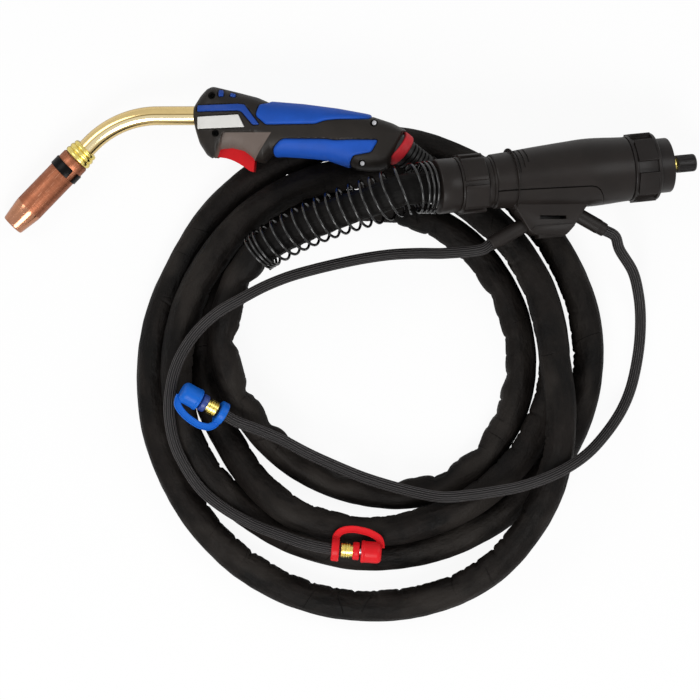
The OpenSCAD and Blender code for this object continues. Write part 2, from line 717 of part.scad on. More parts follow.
// ---- Machine connector, X along its axis from the spring's end to the stem ----
sleeve_d = 34;
rear_collar_d = 42;
rear_nut_from = ferrule_len + gap;
rear_nut_to = rear_nut_from + ring_nut_len;
rear_collar_to = rear_nut_to + 7;
housing_from = rear_collar_to;
housing_to = housing_from + housing_len;
front_nut_from = housing_to + gap;
lug_ring_to = front_nut_from + front_nut_len;
front_nut_to = lug_ring_to + skirt_len;
block_to = front_nut_to - 3.5;
shoulder_to = front_nut_from + 7;
shoulder_d = block_d + 4;
stem_to = block_to + 20;
cap_from = block_to + 9;
cap_to = cap_from + stem_cap_len;
contact_out = 3;        // how far a contact pin stands out of the block
contact_at = 10.5;      // its distance from the axis
module spring_ferrule() {
    color([0.13, 0.12, 0.11])
        at_plug()
            turned([
                [0.4, 0], [0.4, ferrule_d / 2 - 1], [1.4, ferrule_d / 2], [ferrule_len - 0.6, ferrule_d / 2],
                [ferrule_len, ferrule_d / 2 - 0.6], [ferrule_len, 0]
            ]);
}
module rear_sleeve() {
    color([0.1, 0.1, 0.1])
        at_plug()
            turned([
                [ferrule_len, 0], [ferrule_len, sleeve_d / 2], [rear_nut_to + gap, sleeve_d / 2],
                [rear_nut_to + gap, rear_collar_d / 2 - 0.4], [rear_nut_to + 1, rear_collar_d / 2],
                [rear_collar_to, rear_collar_d / 2], [rear_collar_to, 0]
            ]);
}
// A turned ring with rectangular lugs round it
module lugged_ring(from, to, core_d, over_d, lugs, share) {
    intersection() {
        turned([
            [from, 0], [from, over_d / 2 - 0.8], [from + 0.8, over_d / 2], [to - 0.8, over_d / 2],
            [to, over_d / 2 - 0.8], [to, 0]
        ]);
        union() {
            rod(core_d, from, to);
            for (i = [0 : lugs - 1])
                rotate([360 * (i + 0.5) / lugs, 0, 0])
                    translate([from, -share * PI * over_d / lugs / 2, 0])
                        cube([to - from, share * PI * over_d / lugs, over_d / 2]);
        }
    }
}
module ring_nut() {
    color([0.14, 0.13, 0.12])
        at_plug()
            difference() {
                lugged_ring(rear_nut_from, rear_nut_to, ring_nut_d - 4, ring_nut_d, ring_nut_lugs, 0.78);
                rod(sleeve_d + 2 * slip, rear_nut_from - 1, rear_nut_to + 1);
            }
}
// Outline of the barrel: [way along the housing, radius]
barrel = [
    [0, 0], [0, 21.4], [1, 22.4], [20, 23.6], [50, 26], [82, housing_d / 2], [110, 26.8],
    [housing_len - 1, 26.4], [housing_len, 25.6], [housing_len, 0]
];
// Line where the cover meets the housing, and the pod below it, in the connector's X and Y
part_line = [
    [-2, -8], [1, -8], [20.5, -11.4], [86.4, -11.2], [93, -13.5], [96.5, -20], [98.5, -27.2], [99, -40]
];
pod_outline = [
    [14, -12], [21.2, -18.4], [27, -41.2], [31.6, -46.2], [63, -49.4], [72, -42.9], [84.6, -29.2],
    [90, -16], [86, -12]
];
bar_from = [36, -50.4];     // raised bar below the pod
bar_size = [24, 4];
slot_size = [21.6, 2.5];    // slot in the pod's upper side
slot_at = [51.2, -33.6];
groove_from = 22;           // three grip grooves across the housing's top
groove_w = 1.6;
groove_pitch = 4;
module barrel_solid() {
    translate([housing_from, 0, 0])
        turned(barrel);
}
module cover_side(shift) {
    translate([housing_from, 0, -40])
        linear_extrude(80)
            polygon(concat([for (p = part_line) [p.x, p.y - shift]], [[60, -70], [-2, -70]]));
}
module plug_housing() {
    color([0.19, 0.17, 0.16])
        at_plug()
            difference() {
                barrel_solid();
                cover_side(0);
                rod(shoulder_d + 2 * seat, housing_to - 12, housing_to + 1);
                for (i = [0 : 2])
                    translate([housing_from + groove_from + groove_pitch * i, 0, 0])
                        rotate([0, 90, 0])
                            rotate([0, 0, 115])
                                rotate_extrude(angle = 130)
                                    translate([22.9 + 0.3 * i, 0])
                                        square([4, groove_w]);
            }
}
module plug_cover() {
    color([0.17, 0.15, 0.14])
        at_plug()
            difference() {
                union() {
                    intersection() {
                        barrel_solid();
                        cover_side(seam);
                    }
                    translate([housing_from, 0, -pod_thick / 2])
                        linear_extrude(pod_thick)
                            polygon(pod_outline);
                    translate([housing_from + bar_from.x, bar_from.y, -pod_thick / 2 + 5])
                        cube([bar_size.x, bar_size.y, pod_thick - 10]);
                }
                rod(shoulder_d + 2 * seat, housing_to - 12, housing_to + 1);
                translate([housing_from + slot_at.x, slot_at.y, pod_thick / 2])
                    rotate([0, 0, -0.6])
                        cube([slot_size.x, slot_size.y, 4], center = true);
                at_relief(left_relief)
                    rod(relief_d + 2 * seat, -12, 12);
                at_relief(right_relief)
                    rod(relief_d + 2 * seat, -12, 12);
            }
}
// A strain relief: where it leaves the pod, its direction and its free length
left_relief = [[69.5, -39.5], 203, 30];
right_relief = [[124, -37], -34, 21];
module at_relief(relief) {
    translate([relief[0].x, relief[0].y, 0])
        rotate([0, 0, relief[1]])
            children();
}
function relief_end(relief, more) =
    plug_point([relief[0].x, relief[0].y, 0] + turn_z([relief[2] + more, 0, 0], relief[1]));
module relief_solid(relief) {
    color([0.07, 0.07, 0.07])
        at_plug()
            at_relief(relief)
                turned([
                    [-11.8, 0], [-11.8, relief_d / 2], [relief[2] - 6, relief_d / 2],
                    [relief[2] - 5, relief_d / 2 - 0.4], [relief[2] - 0.6, relief_d / 2 - 0.4],
                    [relief[2], relief_d / 2 - 1], [relief[2], 0]
                ]);
}
module relief_left() { relief_solid(left_relief); }
module relief_right() { relief_solid(right_relief); }
module plug_block() {
    color([0.78, 0.6, 0.28])
        at_plug()
            difference() {
                turned([
                    [housing_to - 12 + seat, 0], [housing_to - 12 + seat, shoulder_d / 2],
                    [shoulder_to, shoulder_d / 2], [shoulder_to, block_d / 2],
                    [block_to, block_d / 2], [block_to, 0]
                ]);
                rod(stem_d + 2 * slip, block_to - 14, block_to + 1);
                for (side = [-1, 1])
                    translate([0, side * contact_at, 0])
                        rod(contact_d + 2 * slip, block_to - 16, block_to + 1);
            }
}
module contact_pin(side) {
    color([0.86, 0.72, 0.36])
        at_plug()
            translate([0, side * contact_at, 0])
                rod(contact_d, block_to - 11, block_to + contact_out);
}
module contact_pin_1() { contact_pin(-1); }
module contact_pin_2() { contact_pin(1); }
module front_nut() {
    color([0.12, 0.11, 0.1])
        at_plug()
            difference() {
                union() {
                    lugged_ring(front_nut_from, lug_ring_to, front_nut_d - 5, front_nut_d, front_nut_lugs, 0.62);
                    turned([
                        [lug_ring_to - 1, 0], [lug_ring_to - 1, skirt_d / 2],
                        [front_nut_to - 0.8, skirt_d / 2], [front_nut_to, skirt_d / 2 - 0.8], [front_nut_to, 0]
                    ]);
                }
                rod(shoulder_d + 2 * slip, front_nut_from - 1, front_nut_from + 6);
                rod(thread_d, front_nut_from + 6, front_nut_to + 1);
            }
}
module inlet_stem() {
    color([0.8, 0.62, 0.3])
        at_plug()
            difference() {
                rod(stem_d, block_to - 13.9, stem_to);
                rod(3, block_to - 15, stem_to + 1);
                translate([block_to + 1.6, 0, 0])
                    rotate([0, 90, 0])
                        difference() {
                            cylinder(d = stem_d + 2, h = 1.8);
                            cylinder(d = stem_d - 1.6, h = 1.8);
                        }
            }
}
module stem_seal() {
    color([0.05, 0.05, 0.05])
        at_plug()
            translate([block_to + 2.5, 0, 0])
                rotate([0, 90, 0])
                    rotate_extrude()
                        translate([stem_d / 2 + slip, 0])
                            circle(d = 1.6);
}
module stem_cap() {
    flutes = 18;
    color([0.07, 0.07, 0.07])
        at_plug()
            difference() {
                turned([
                    [cap_from, 0], [cap_from, stem_cap_d / 2 - 0.6], [cap_from + 0.6, stem_cap_d / 2],
                    [cap_to - 1, stem_cap_d / 2], [cap_to, stem_cap_d / 2 - 1], [cap_to, 0]
                ]);
                rod(stem_d + 2 * slip, cap_from - 1, stem_to + 0.5);
                for (i = [0 : flutes - 1])
                    rotate([360 * i / flutes, 0, 0])
                        translate([0, stem_cap_d / 2 + 0.3, 0])
                            rod(1.6, cap_from + 2, cap_to + 1);
            }
}

// ---- Water hoses ----
red_at = [92.5, -320.1, 48.6];
red_turn = -4.6;
red_pitch = 0;
blue_at = [4.6, -209.7, 54];
blue_turn = 150.4;
blue_pitch = 12;
water_lying = water_d * 0.4;
ferrule_from = 7.8;
ferrule_to = 17.6;
collar_to = 23.2;
dust_cap_from = 24.4;
dust_cap_to = dust_cap_from + dust_cap_len;
nipple_to = dust_cap_from + dust_cap_len - 5;
function coupling_point(at, turn, pitch, x) = at + turn_z(turn_y([x, 0, 0], -pitch), turn);
red_route = [
    relief_end(left_relief, 0), relief_end(left_relief, 10), [186, -77, 64], [164, -77, 57], [142, -78, 51],
    [120, -81, 48], [100, -85, 48], [79, -90, 51], [58, -96, 54.5], [38, -104, 58], [19, -114, 60],
    [0, -125, 58], [-16, -139, 53.5], [-28, -155, 51.5], [-36, -172, 51], [-40, -190, 49.5], [-41, -209, 45],
    [-37, -232, 39], [-28, -252, 34], [-14, -272, 31], [6, -288, 31], [28, -300, 31.5], [50, -308.5, 37],
    [72, -316, 44.5],
    coupling_point(red_at, red_turn, red_pitch, 0), coupling_point(red_at, red_turn, red_pitch, ferrule_from)
];
blue_route = [
    relief_end(right_relief, 0), relief_end(right_relief, 10), [330, -74, 31], [341, -92, 20], [346, -112, 8],
    [347.5, -131, water_lying], [346.5, -152, water_lying], [343, -174, water_lying], [338, -192, 9],
    [330, -209, 18], [318, -226, 30], [304, -241, 44], [287, -253, 57], [268, -262, 60.5], [247, -269, 55],
    [226, -273, 50], [205, -276, 45.5], [184, -277.5, 40.5], [163, -274, 34], [140, -268, 31], [118, -261, 30],
    [96, -252, 31], [74, -242, 35.5], [53, -231, 41], [32, -222, 47],
    coupling_point(blue_at, blue_turn, blue_pitch, -12), coupling_point(blue_at, blue_turn, blue_pitch, 0),
    coupling_point(blue_at, blue_turn, blue_pitch, ferrule_from)
];
module red_hose() {
    color([0.15, 0.14, 0.14])
        swept_tube(red_route, water_d, 8);
}
module blue_hose() {
    color([0.15, 0.14, 0.14])
        swept_tube(blue_route, water_d, 8);
}
module at_coupling(at, turn, pitch) {
    translate(at)
        rotate([0, -pitch, turn])
            children();
}
module coupling_ferrule() {
    color([0.8, 0.62, 0.28])
        difference() {
            union() {
                translate([ferrule_from, 0, 0])
                    rotate([0, 90, 0])
                        cylinder(d = water_ferrule_d, h = 7.6, $fn = 6);
                rod(water_ferrule_d - 2.6, ferrule_from, ferrule_to);
            }
            rod(nipple_d, ferrule_from + 1, ferrule_to + 1);
        }
}
module coupling_collar() {
    difference() {
        turned([
            [ferrule_to, 0], [ferrule_to, water_collar_d / 2 - 0.8], [ferrule_to + 0.8, water_collar_d / 2],
            [collar_to - 0.8, water_collar_d / 2], [collar_to, water_collar_d / 2 - 0.8], [collar_to, 0]
        ]);
        rod(nipple_d, ferrule_to - 1, collar_to + 1);
    }
}
module coupling_nipple() {
    color([0.75, 0.76, 0.78])
        difference() {
            turned([
                [ferrule_from + 1 + seat, 0], [ferrule_from + 1 + seat, nipple_d / 2],
                [nipple_to - 1, nipple_d / 2], [nipple_to, nipple_d / 2 - 1], [nipple_to, 0]
            ]);
            rod(2.6, ferrule_to, nipple_to + 1);
        }
}
module coupling_cap() {
    difference() {
        turned([
            [dust_cap_from, 0], [dust_cap_from, dust_cap_d / 2 - 1], [dust_cap_from + 1, dust_cap_d / 2],
            [dust_cap_to - 2.4, dust_cap_d / 2], [dust_cap_to, dust_cap_d / 2 - 2.4], [dust_cap_to, 0]
        ]);
        rod(nipple_d + 2 * slip, dust_cap_from - 1, nipple_to + 0.6);
    }
}
// The strap's line in the coupling's own plane, from its ring round the hose to the cap's side
strap_route = [[3.2, 7.4], [3.4, 11], [7.2, 15.4], [15.5, 17.6], [26, 16.8], [33, 14.8], [37.4, 13]];
ring_hole_d = water_d + 0.6;
strap_ring_len = 6.4;
module coupling_strap() {
    line = smooth_line(strap_route, 3);
    last = len(line) - 1;
    out = [for (i = [0 : last]) let (d = line_dir(line, i)) line[i] + strap_w / 2 * [-d.y, d.x]];
    in = [for (i = [last : -1 : 0]) let (d = line_dir(line, i)) line[i] - strap_w / 2 * [-d.y, d.x]];
    difference() {
        union() {
            rod(dust_cap_d + 1, 0, strap_ring_len);
            translate([0, 0, -strap_t / 2])
                linear_extrude(strap_t)
                    polygon(concat(out, in));
        }
        rod(ring_hole_d, -1, strap_ring_len + 1);
    }
}
cap_red = [0.85, 0.12, 0.13];
cap_blue = [0.05, 0.3, 0.75];
collar_navy = [0.1, 0.14, 0.4];
module red_ferrule() { at_coupling(red_at, red_turn, red_pitch) coupling_ferrule(); }
module red_collar() { color(cap_red) at_coupling(red_at, red_turn, red_pitch) coupling_collar(); }
module red_nipple() { at_coupling(red_at, red_turn, red_pitch) coupling_nipple(); }
module red_cap() { color(cap_red) at_coupling(red_at, red_turn, red_pitch) coupling_cap(); }
module red_strap() { color(cap_red) at_coupling(red_at, red_turn, red_pitch) coupling_strap(); }
module blue_ferrule() { at_coupling(blue_at, blue_turn, blue_pitch) coupling_ferrule(); }
module blue_collar() { color(collar_navy) at_coupling(blue_at, blue_turn, blue_pitch) coupling_collar(); }
module blue_nipple() { at_coupling(blue_at, blue_turn, blue_pitch) coupling_nipple(); }
module blue_cap() { color(cap_blue) at_coupling(blue_at, blue_turn, blue_pitch) coupling_cap(); }
module blue_strap() { color(cap_blue) at_coupling(blue_at, blue_turn, blue_pitch) coupling_strap(); }

gas_nozzle();
nozzle_clip();
contact_tip();
tip_holder();
gas_diffuser();
neck_collar();
neck_tube();
upper_shell();
lower_shell();
top_grip_upper();
top_grip_lower();
heel_grip_upper();
heel_grip_lower();
stripe_upper();
stripe_lower();
label_plate();
hump_window_1();
hump_window_2();
trigger();
trigger_pin();
trigger_spring();
micro_switch();
shell_screw_1();
shell_screw_2();
shell_screw_3();
shell_screw_4();
outlet_ball();
outlet_ring();
bend_boot();
main_hose();
support_spring();
spring_ferrule();
rear_sleeve();
ring_nut();
plug_housing();
plug_cover();
relief_left();
relief_right();
plug_block();
contact_pin_1();
contact_pin_2();
front_nut();
inlet_stem();
stem_seal();
stem_cap();
red_hose();
red_ferrule();
red_collar();
red_nipple();
red_cap();
red_strap();
blue_hose();
blue_ferrule();
blue_collar();
blue_nipple();
blue_cap();
blue_strap();
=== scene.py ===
import math
import random

import bmesh
import bpy
import numpy as np
from mathutils import Matrix, Vector, noise


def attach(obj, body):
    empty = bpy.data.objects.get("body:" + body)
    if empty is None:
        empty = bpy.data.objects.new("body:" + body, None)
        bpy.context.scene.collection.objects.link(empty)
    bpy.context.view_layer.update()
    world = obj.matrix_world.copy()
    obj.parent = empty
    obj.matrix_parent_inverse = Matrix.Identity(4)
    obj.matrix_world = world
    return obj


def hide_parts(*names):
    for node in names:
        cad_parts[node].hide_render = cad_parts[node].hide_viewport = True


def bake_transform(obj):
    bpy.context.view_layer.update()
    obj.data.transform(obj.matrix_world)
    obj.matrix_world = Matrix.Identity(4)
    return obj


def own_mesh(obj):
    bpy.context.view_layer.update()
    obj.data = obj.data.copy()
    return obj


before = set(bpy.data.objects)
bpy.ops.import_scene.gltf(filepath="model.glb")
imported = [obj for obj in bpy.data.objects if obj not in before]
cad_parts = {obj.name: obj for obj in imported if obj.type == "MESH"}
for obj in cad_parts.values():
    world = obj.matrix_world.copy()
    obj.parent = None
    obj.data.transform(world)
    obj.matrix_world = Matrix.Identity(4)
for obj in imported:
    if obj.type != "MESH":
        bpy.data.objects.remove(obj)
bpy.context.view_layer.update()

bl_info = {
    "name": "Water-cooled welding torch",
    "version": (1, 0, 0),
    "blender": (4, 5, 0),
    "location": "3D View > Sidebar > Torch",
    "description": "Dresses the torch's fixed frame with its finished pieces, cords and stage",
    "category": "Add Mesh",
}

MM = 0.001
Z_AXIS = Vector((0, 0, 1))


# ---- Frames of the torch's parts: X runs along each part's own axis ----
def frame_at(place, *turns):
    """A frame at a place, turned by (degrees, axis) steps from the outermost inwards."""
    matrix = Matrix.Translation(Vector(place))
    for degrees, axis in turns:
        matrix = matrix @ Matrix.Rotation(math.radians(degrees), 4, axis)
    return matrix


GUN = frame_at((-0.0197, 0.03657, 0.03058), (-7.6, "Y"))
NOZZLE = GUN @ frame_at((-0.064, 0, 0), (225.6, "Z"))
OUTLET = GUN @ frame_at((0.1679, -0.0263, 0), (-40, "Z"), (22, "Y"))
PLUG = frame_at((0.1777, -0.0226, 0.0817), (5.55, "Z"), (16.25, "Y"))
LEFT_RELIEF = PLUG @ frame_at((0.0695, -0.0395, 0), (203, "Z"))
RIGHT_RELIEF = PLUG @ frame_at((0.124, -0.037, 0), (-34, "Z"))
RED_END = frame_at((0.0925, -0.3201, 0.0486), (-4.6, "Z"))
BLUE_END = frame_at((0.0046, -0.2097, 0.054), (150.4, "Z"), (-12, "Y"))


def on_axis(matrix, along):
    """The point of a frame's own axis at a distance from its start."""
    return matrix @ Vector((along, 0, 0))


# ---- Sizes and colours ----
def length(name, default, description, low=0.0001, high=0.1):
    """A length property in metres."""
    return bpy.props.FloatProperty(
        name=name, description=description, default=default, min=low, max=high, unit="LENGTH", precision=5
    )


def tint(name, colour, description):
    """A linear colour property."""
    return bpy.props.FloatVectorProperty(
        name=name, description=description, default=colour, size=3, min=0, max=1, subtype="COLOR"
    )


class TorchSizes(bpy.types.PropertyGroup):
    """Sizes of the finished pieces."""

    hose_width: length("Hose width", 0.026, "Diameter of the main hose's jacket")
    hose_ring: length("Hose ring spacing", 0.00146, "Distance between two rings of the jacket's mesh")
    crease_depth: length("Crease depth", 0.0019, "Depth of the jacket's creases on the inside of the bends")
    fold_depth: length("Fold depth", 0.0050, "Depth of the jacket's large folds in the tight strands")
    water_width: length("Water hose width", 0.0092, "Diameter of the two water hoses")
    rib_height: length("Rib height", 0.00032, "Height of the water hoses' lengthwise ribs", low=0)
    wire_width: length("Spring wire", 0.0023, "Diameter of the support spring's wire")
    grip_lift: length("Grip lift", 0.0013, "How far the soft grips stand out of the shell")
    trim_lift: length("Trim lift", 0.0006, "How far the stripes and the label stand out of the shell")
    groove_depth: length("Groove depth", 0.0009, "Depth of the shell's grooves round grips and trim")
    scoop_depth: length("Scoop depth", 0.0022, "Depth of the finger scoop over the trigger")
    lug_bevel: length("Lug bevel", 0.0006, "Bevel on the nuts' lugs")
    edge_bevel: length("Edge bevel", 0.0003, "Bevel on turned edges")


class TorchColours(bpy.types.PropertyGroup):
    """Base colours of the finishes."""

    copper: tint("Copper", (0.33, 0.118, 0.062), "Drawn copper of the gas nozzle")
    brass: tint("Brass", (0.80, 0.60, 0.27), "Satin brass of the neck")
    bright_brass: tint("Bright brass", (0.84, 0.68, 0.20), "Turned brass of the collar and the ferrules")
    steel: tint("Steel", (0.62, 0.62, 0.64), "Plated steel of screws and nipples")
    black_steel: tint("Black steel", (0.004, 0.004, 0.004), "Clip and spring")
    shell: tint("Shell", (0.0175, 0.0142, 0.0118), "Charcoal plastic of the handle")
    grip: tint("Grip", (0.011, 0.084, 0.46), "Blue of the soft grips")
    stripe: tint("Stripe", (0.013, 0.062, 0.33), "Blue of the stripes")
    label: tint("Label", (0.74, 0.73, 0.70), "Bare label plate")
    trigger: tint("Trigger", (0.60, 0.008, 0.012), "Red of the trigger")
    ring: tint("Outlet ring", (0.60, 0.026, 0.036), "Dull red of the outlet ring")
    plug: tint("Connector", (0.0150, 0.0118, 0.0104), "Black-brown plastic of the connector")
    nut: tint("Nut", (0.0125, 0.0098, 0.0088), "Black plastic of the front nut")
    rubber: tint("Rubber", (0.0065, 0.0058, 0.0056), "Boot and strain reliefs")
    jacket: tint("Jacket", (0.0066, 0.0052, 0.0045), "Jacket of the main hose")
    water: tint("Water hose", (0.0066, 0.0060, 0.0060), "Rubber of the water hoses")
    red_cap: tint("Red cap", (0.68, 0.010, 0.016), "Red cap, collar and strap")
    blue_cap: tint("Blue cap", (0.006, 0.125, 0.58), "Blue cap and strap")
    navy: tint("Navy collar", (0.020, 0.050, 0.24), "Collar of the blue coupling")
    insulator: tint("Insulator", (0.70, 0.62, 0.50), "Gas diffuser")
    floor: tint("Floor", (0.93, 0.93, 0.93), "Floor that the torch lies on")


# ---- Shader expressions ----
class Value:
    """An output of a node. Arithmetic on it adds Math nodes."""

    def __init__(self, shader, socket):
        self.shader = shader
        self.socket = socket

    def maths(self, operation, *others):
        return self.shader.node("Math", {"operation": operation}, dict(enumerate((self, *others))))

    def __add__(self, other):
        return self.maths("ADD", other)

    __radd__ = __add__

    def __mul__(self, other):
        return self.maths("MULTIPLY", other)

    __rmul__ = __mul__

    def __sub__(self, other):
        return self.maths("SUBTRACT", other)

    def __rsub__(self, other):
        return self.shader.node("Math", {"operation": "SUBTRACT"}, {0: other, 1: self})

    def __pow__(self, other):
        return self.maths("POWER", other)

    def between(self, low, high):
        """0 below low, 1 above high and a smooth step between them."""
        return self.shader.node(
            "MapRange", {"interpolation_type": "SMOOTHSTEP"}, {"Value": self, "From Min": low, "From Max": high}
        )


class Shader:
    def __init__(self, name):
        self.material = bpy.data.materials.new(name)
        self.material.use_nodes = True
        self.tree = self.material.node_tree
        self.tree.nodes.clear()

    def node(self, kind, settings=None, inputs=None, output=0):
        made = self.tree.nodes.new("ShaderNode" + kind)
        for key, value in (settings or {}).items():
            setattr(made, key, value)
        for key, value in (inputs or {}).items():
            if isinstance(value, Value):
                self.tree.links.new(value.socket, made.inputs[key])
            else:
                made.inputs[key].default_value = value
        return Value(self, made.outputs[output])

    def place(self, matrix=None, stretch=(1, 1, 1)):
        """Object coordinates in a part's own frame, stretched along its axes."""
        point = self.node("TexCoord", output=3)
        if matrix is not None:
            settings = {"vector_type": "TEXTURE"}
            turn = matrix.to_euler("XYZ")
            point = self.node(
                "Mapping", settings, {"Vector": point, "Location": matrix.to_translation(), "Rotation": turn}
            )
        return self.node("VectorMath", {"operation": "MULTIPLY"}, {0: point, 1: stretch})

    def along(self, stretch):
        """The piece's own UV map in metres, stretched."""
        point = self.node("UVMap")
        return self.node("VectorMath", {"operation": "MULTIPLY"}, {0: point, 1: (*stretch, 1)})

    def axis(self, vector, index):
        return self.node("SeparateXYZ", None, {0: vector}, output=index)

    def noise(self, vector, scale, detail=2.0, rough=0.5):
        inputs = {"Vector": vector, "Scale": scale, "Detail": detail, "Roughness": rough}
        return self.node("TexNoise", None, inputs)

    def blend(self, share, first, second, mode="MIX"):
        """Two colours mixed by a share."""
        first, second = (c if isinstance(c, Value) else (*c, 1) for c in (first, second))
        return self.node("Mix", {"data_type": "RGBA", "blend_type": mode}, {0: share, 6: first, 7: second}, 2)

    def bump(self, height, depth, strength=1.0):
        return self.node("Bump", None, {"Height": height, "Distance": depth, "Strength": strength})

    def finish(self, colour, roughness, normal=None, **constants):
        inputs = {"Base Color": colour, "Roughness": roughness}
        if normal is not None:
            inputs["Normal"] = normal
        for key, value in constants.items():
            inputs[key.replace("_", " ")] = value
        surface = self.node("BsdfPrincipled", None, inputs)
        out = self.tree.nodes.new("ShaderNodeOutputMaterial")
        self.tree.links.new(surface.socket, out.inputs["Surface"])
        return self.material


def shade(colour, by):
    """A colour made lighter or darker."""
    return tuple(min(1.0, c * by) for c in colour)


def moulded(name, colour, rough=0.45, grain=0.00003, spread=0.5, gloss=0.4, coat=0.0, worn=1.6):
    """Moulded plastic: fine grain, faint flow marks, rubbed patches and small scuffs."""
    s = Shader(name)
    point = s.place()
    cloud = s.noise(point, 38, 4, 0.6)
    fine = s.noise(point, 900, 2, 0.6)
    scuff = s.noise(s.place(None, (1, 0.16, 0.7)), 420, 3, 0.65).between(0.66, 0.74)
    base = s.blend(cloud.between(0.35, 0.7), shade(colour, 1 - 0.25 * spread), shade(colour, 1 + 0.25 * spread))
    base = s.blend(scuff * 0.35, base, shade(colour, worn))
    roughness = rough + cloud * 0.12 - 0.06 + scuff * 0.1
    height = fine + s.noise(point, 3200, 1) * 0.5 - scuff * 0.6
    return s.finish(
        base, roughness, s.bump(height, grain), Specular_IOR_Level=gloss, Coat_Weight=coat, Coat_Roughness=0.18
    )


def rubbery(name, colour, rough=0.7, grain=0.00006, gloss=0.25, sheen=0.0):
    """Soft rubber: mottled, matt, with a skin of fine dimples and a little dust."""
    s = Shader(name)
    point = s.place()
    cloud = s.noise(point, 55, 4, 0.65)
    dimple = s.node("TexVoronoi", None, {"Vector": point, "Scale": 1100.0})
    dust = s.noise(point, 210, 5, 0.7).between(0.58, 0.8)
    base = s.blend(cloud.between(0.3, 0.75), shade(colour, 0.82), shade(colour, 1.18))
    base = s.blend(dust * 0.3, base, shade(colour, 1.9))
    height = dimple * 0.7 + s.noise(point, 500, 3) * 0.6
    return s.finish(
        base, rough + cloud * 0.14 - 0.07, s.bump(height, grain), Specular_IOR_Level=gloss, Sheen_Weight=sheen
    )


def turned_metal(name, matrix, colour, rough=0.25, marks=(2600, 30, 30), dirt=0.5, tarnish=0.6):
    """Bare metal with lathe marks round its axis, stains and rubbed bright spots."""
    s = Shader(name)
    point = s.place()
    ring = s.noise(s.place(matrix, marks), 1.0, 3, 0.6)
    scratch = s.noise(s.place(matrix, (260, 1900, 1900)), 1.0, 2, 0.7).between(0.6, 0.7)
    stain = s.noise(point, 70, 5, 0.65).between(0.42, 0.72)
    base = s.blend(ring.between(0.25, 0.75), shade(colour, 0.86), shade(colour, 1.12))
    base = s.blend(stain * dirt, base, shade(colour, tarnish))
    roughness = rough + ring * 0.12 + stain * 0.12 - 0.06
    return s.finish(base, roughness, s.bump(ring + scratch * 0.8, 0.00002), Metallic=1.0)


# ---- Drawing, turning and cutting of pieces ----
def deselect():
    if bpy.context.object is not None and bpy.context.object.mode != "OBJECT":
        bpy.ops.object.mode_set(mode="OBJECT")
    bpy.ops.object.select_all(action="DESELECT")


def edit(obj, kind="FACE"):
    """Opens a piece in edit mode with nothing selected."""
    deselect()
    bpy.context.view_layer.objects.active = obj
    obj.select_set(True)
    bpy.ops.object.mode_set(mode="EDIT")
    bpy.ops.mesh.select_mode(type=kind)
    bpy.ops.mesh.select_all(action="DESELECT")


def pick(obj, test):
    """Selects the faces whose centre and normal, in millimetres of the part's frame, pass a test."""
    mesh = bmesh.from_edit_mesh(obj.data)
    found = 0
    for face in mesh.faces:
        face.select_set(bool(test(face.calc_center_median() / MM, face.normal)))
        found += face.select
    bmesh.update_edit_mesh(obj.data)
    if not found:
        raise RuntimeError(f"no face of {obj.name} passes the test")


def drawn(name, points, closed=False):
    """An outline drawn from a single vertex, which is then extruded from point to point, in millimetres."""
    deselect()
    bpy.ops.mesh.primitive_plane_add(size=MM)
    obj = bpy.context.object
    obj.name = obj.data.name = name
    bpy.ops.object.mode_set(mode="EDIT")
    bpy.ops.mesh.select_mode(type="VERT")
    bpy.ops.mesh.select_all(action="SELECT")
    bpy.ops.mesh.merge(type="CENTER")
    here = Vector(points[0])
    bpy.ops.transform.translate(value=here * MM)
    for point in points[1:]:
        point = Vector(point)
        bpy.ops.mesh.extrude_region_move(TRANSFORM_OT_translate={"value": (point - here) * MM})
        here = point
    if closed:
        bpy.ops.mesh.select_all(action="SELECT")
        bpy.ops.mesh.edge_face_add()
    return obj


def close_up(threshold=0.00001):
    bpy.ops.mesh.select_all(action="SELECT")
    bpy.ops.mesh.remove_doubles(threshold=threshold)
    bpy.ops.mesh.normals_make_consistent(inside=False)


def turned(name, corners, steps=96):
    """A body of revolution about X from (along, radius) corners in millimetres."""
    obj = drawn(name, [(x, 0, r) for x, r in corners])
    bpy.ops.mesh.select_all(action="SELECT")
    bpy.ops.mesh.spin(steps=steps, angle=math.radians(360), center=(0, 0, 0), axis=(1, 0, 0))
    close_up()
    bpy.ops.object.mode_set(mode="OBJECT")
    return obj


def plate(name, corners, low, high):
    """A flat plate: an outline in X and Y, filled and extruded upwards, in millimetres."""
    obj = drawn(name, [(x, y, low) for x, y in corners], closed=True)
    bpy.ops.mesh.select_all(action="SELECT")
    bpy.ops.mesh.extrude_region_move(TRANSFORM_OT_translate={"value": (0, 0, (high - low) * MM)})
    close_up()
    bpy.ops.object.mode_set(mode="OBJECT")
    return obj


def block(name, low, high):
    """A box between two corners, in millimetres."""
    return plate(name, [(low[0], low[1]), (high[0], low[1]), (high[0], high[1]), (low[0], high[1])], low[2], high[2])


def move(obj, matrix):
    """Puts a piece into a frame, with its place in its mesh."""
    deselect()
    bpy.context.view_layer.objects.active = obj
    obj.select_set(True)
    obj.matrix_world = matrix @ obj.matrix_world
    bpy.ops.object.transform_apply(location=True, rotation=True, scale=True)
    return obj


def modify(obj, kind, **settings):
    """Adds a modifier and applies it."""
    deselect()
    bpy.context.view_layer.objects.active = obj
    obj.select_set(True)
    modifier = obj.modifiers.new(kind.title(), kind)
    for key, value in settings.items():
        setattr(modifier, key, value)
    bpy.ops.object.modifier_apply(modifier=modifier.name)
    return obj


def cut(obj, *others, operation="DIFFERENCE"):
    """Joins, cuts or keeps a piece with others, which are used up."""
    for other in others:
        modify(obj, "BOOLEAN", operation=operation, solver="EXACT", object=other)
        bpy.data.objects.remove(other)
    return obj


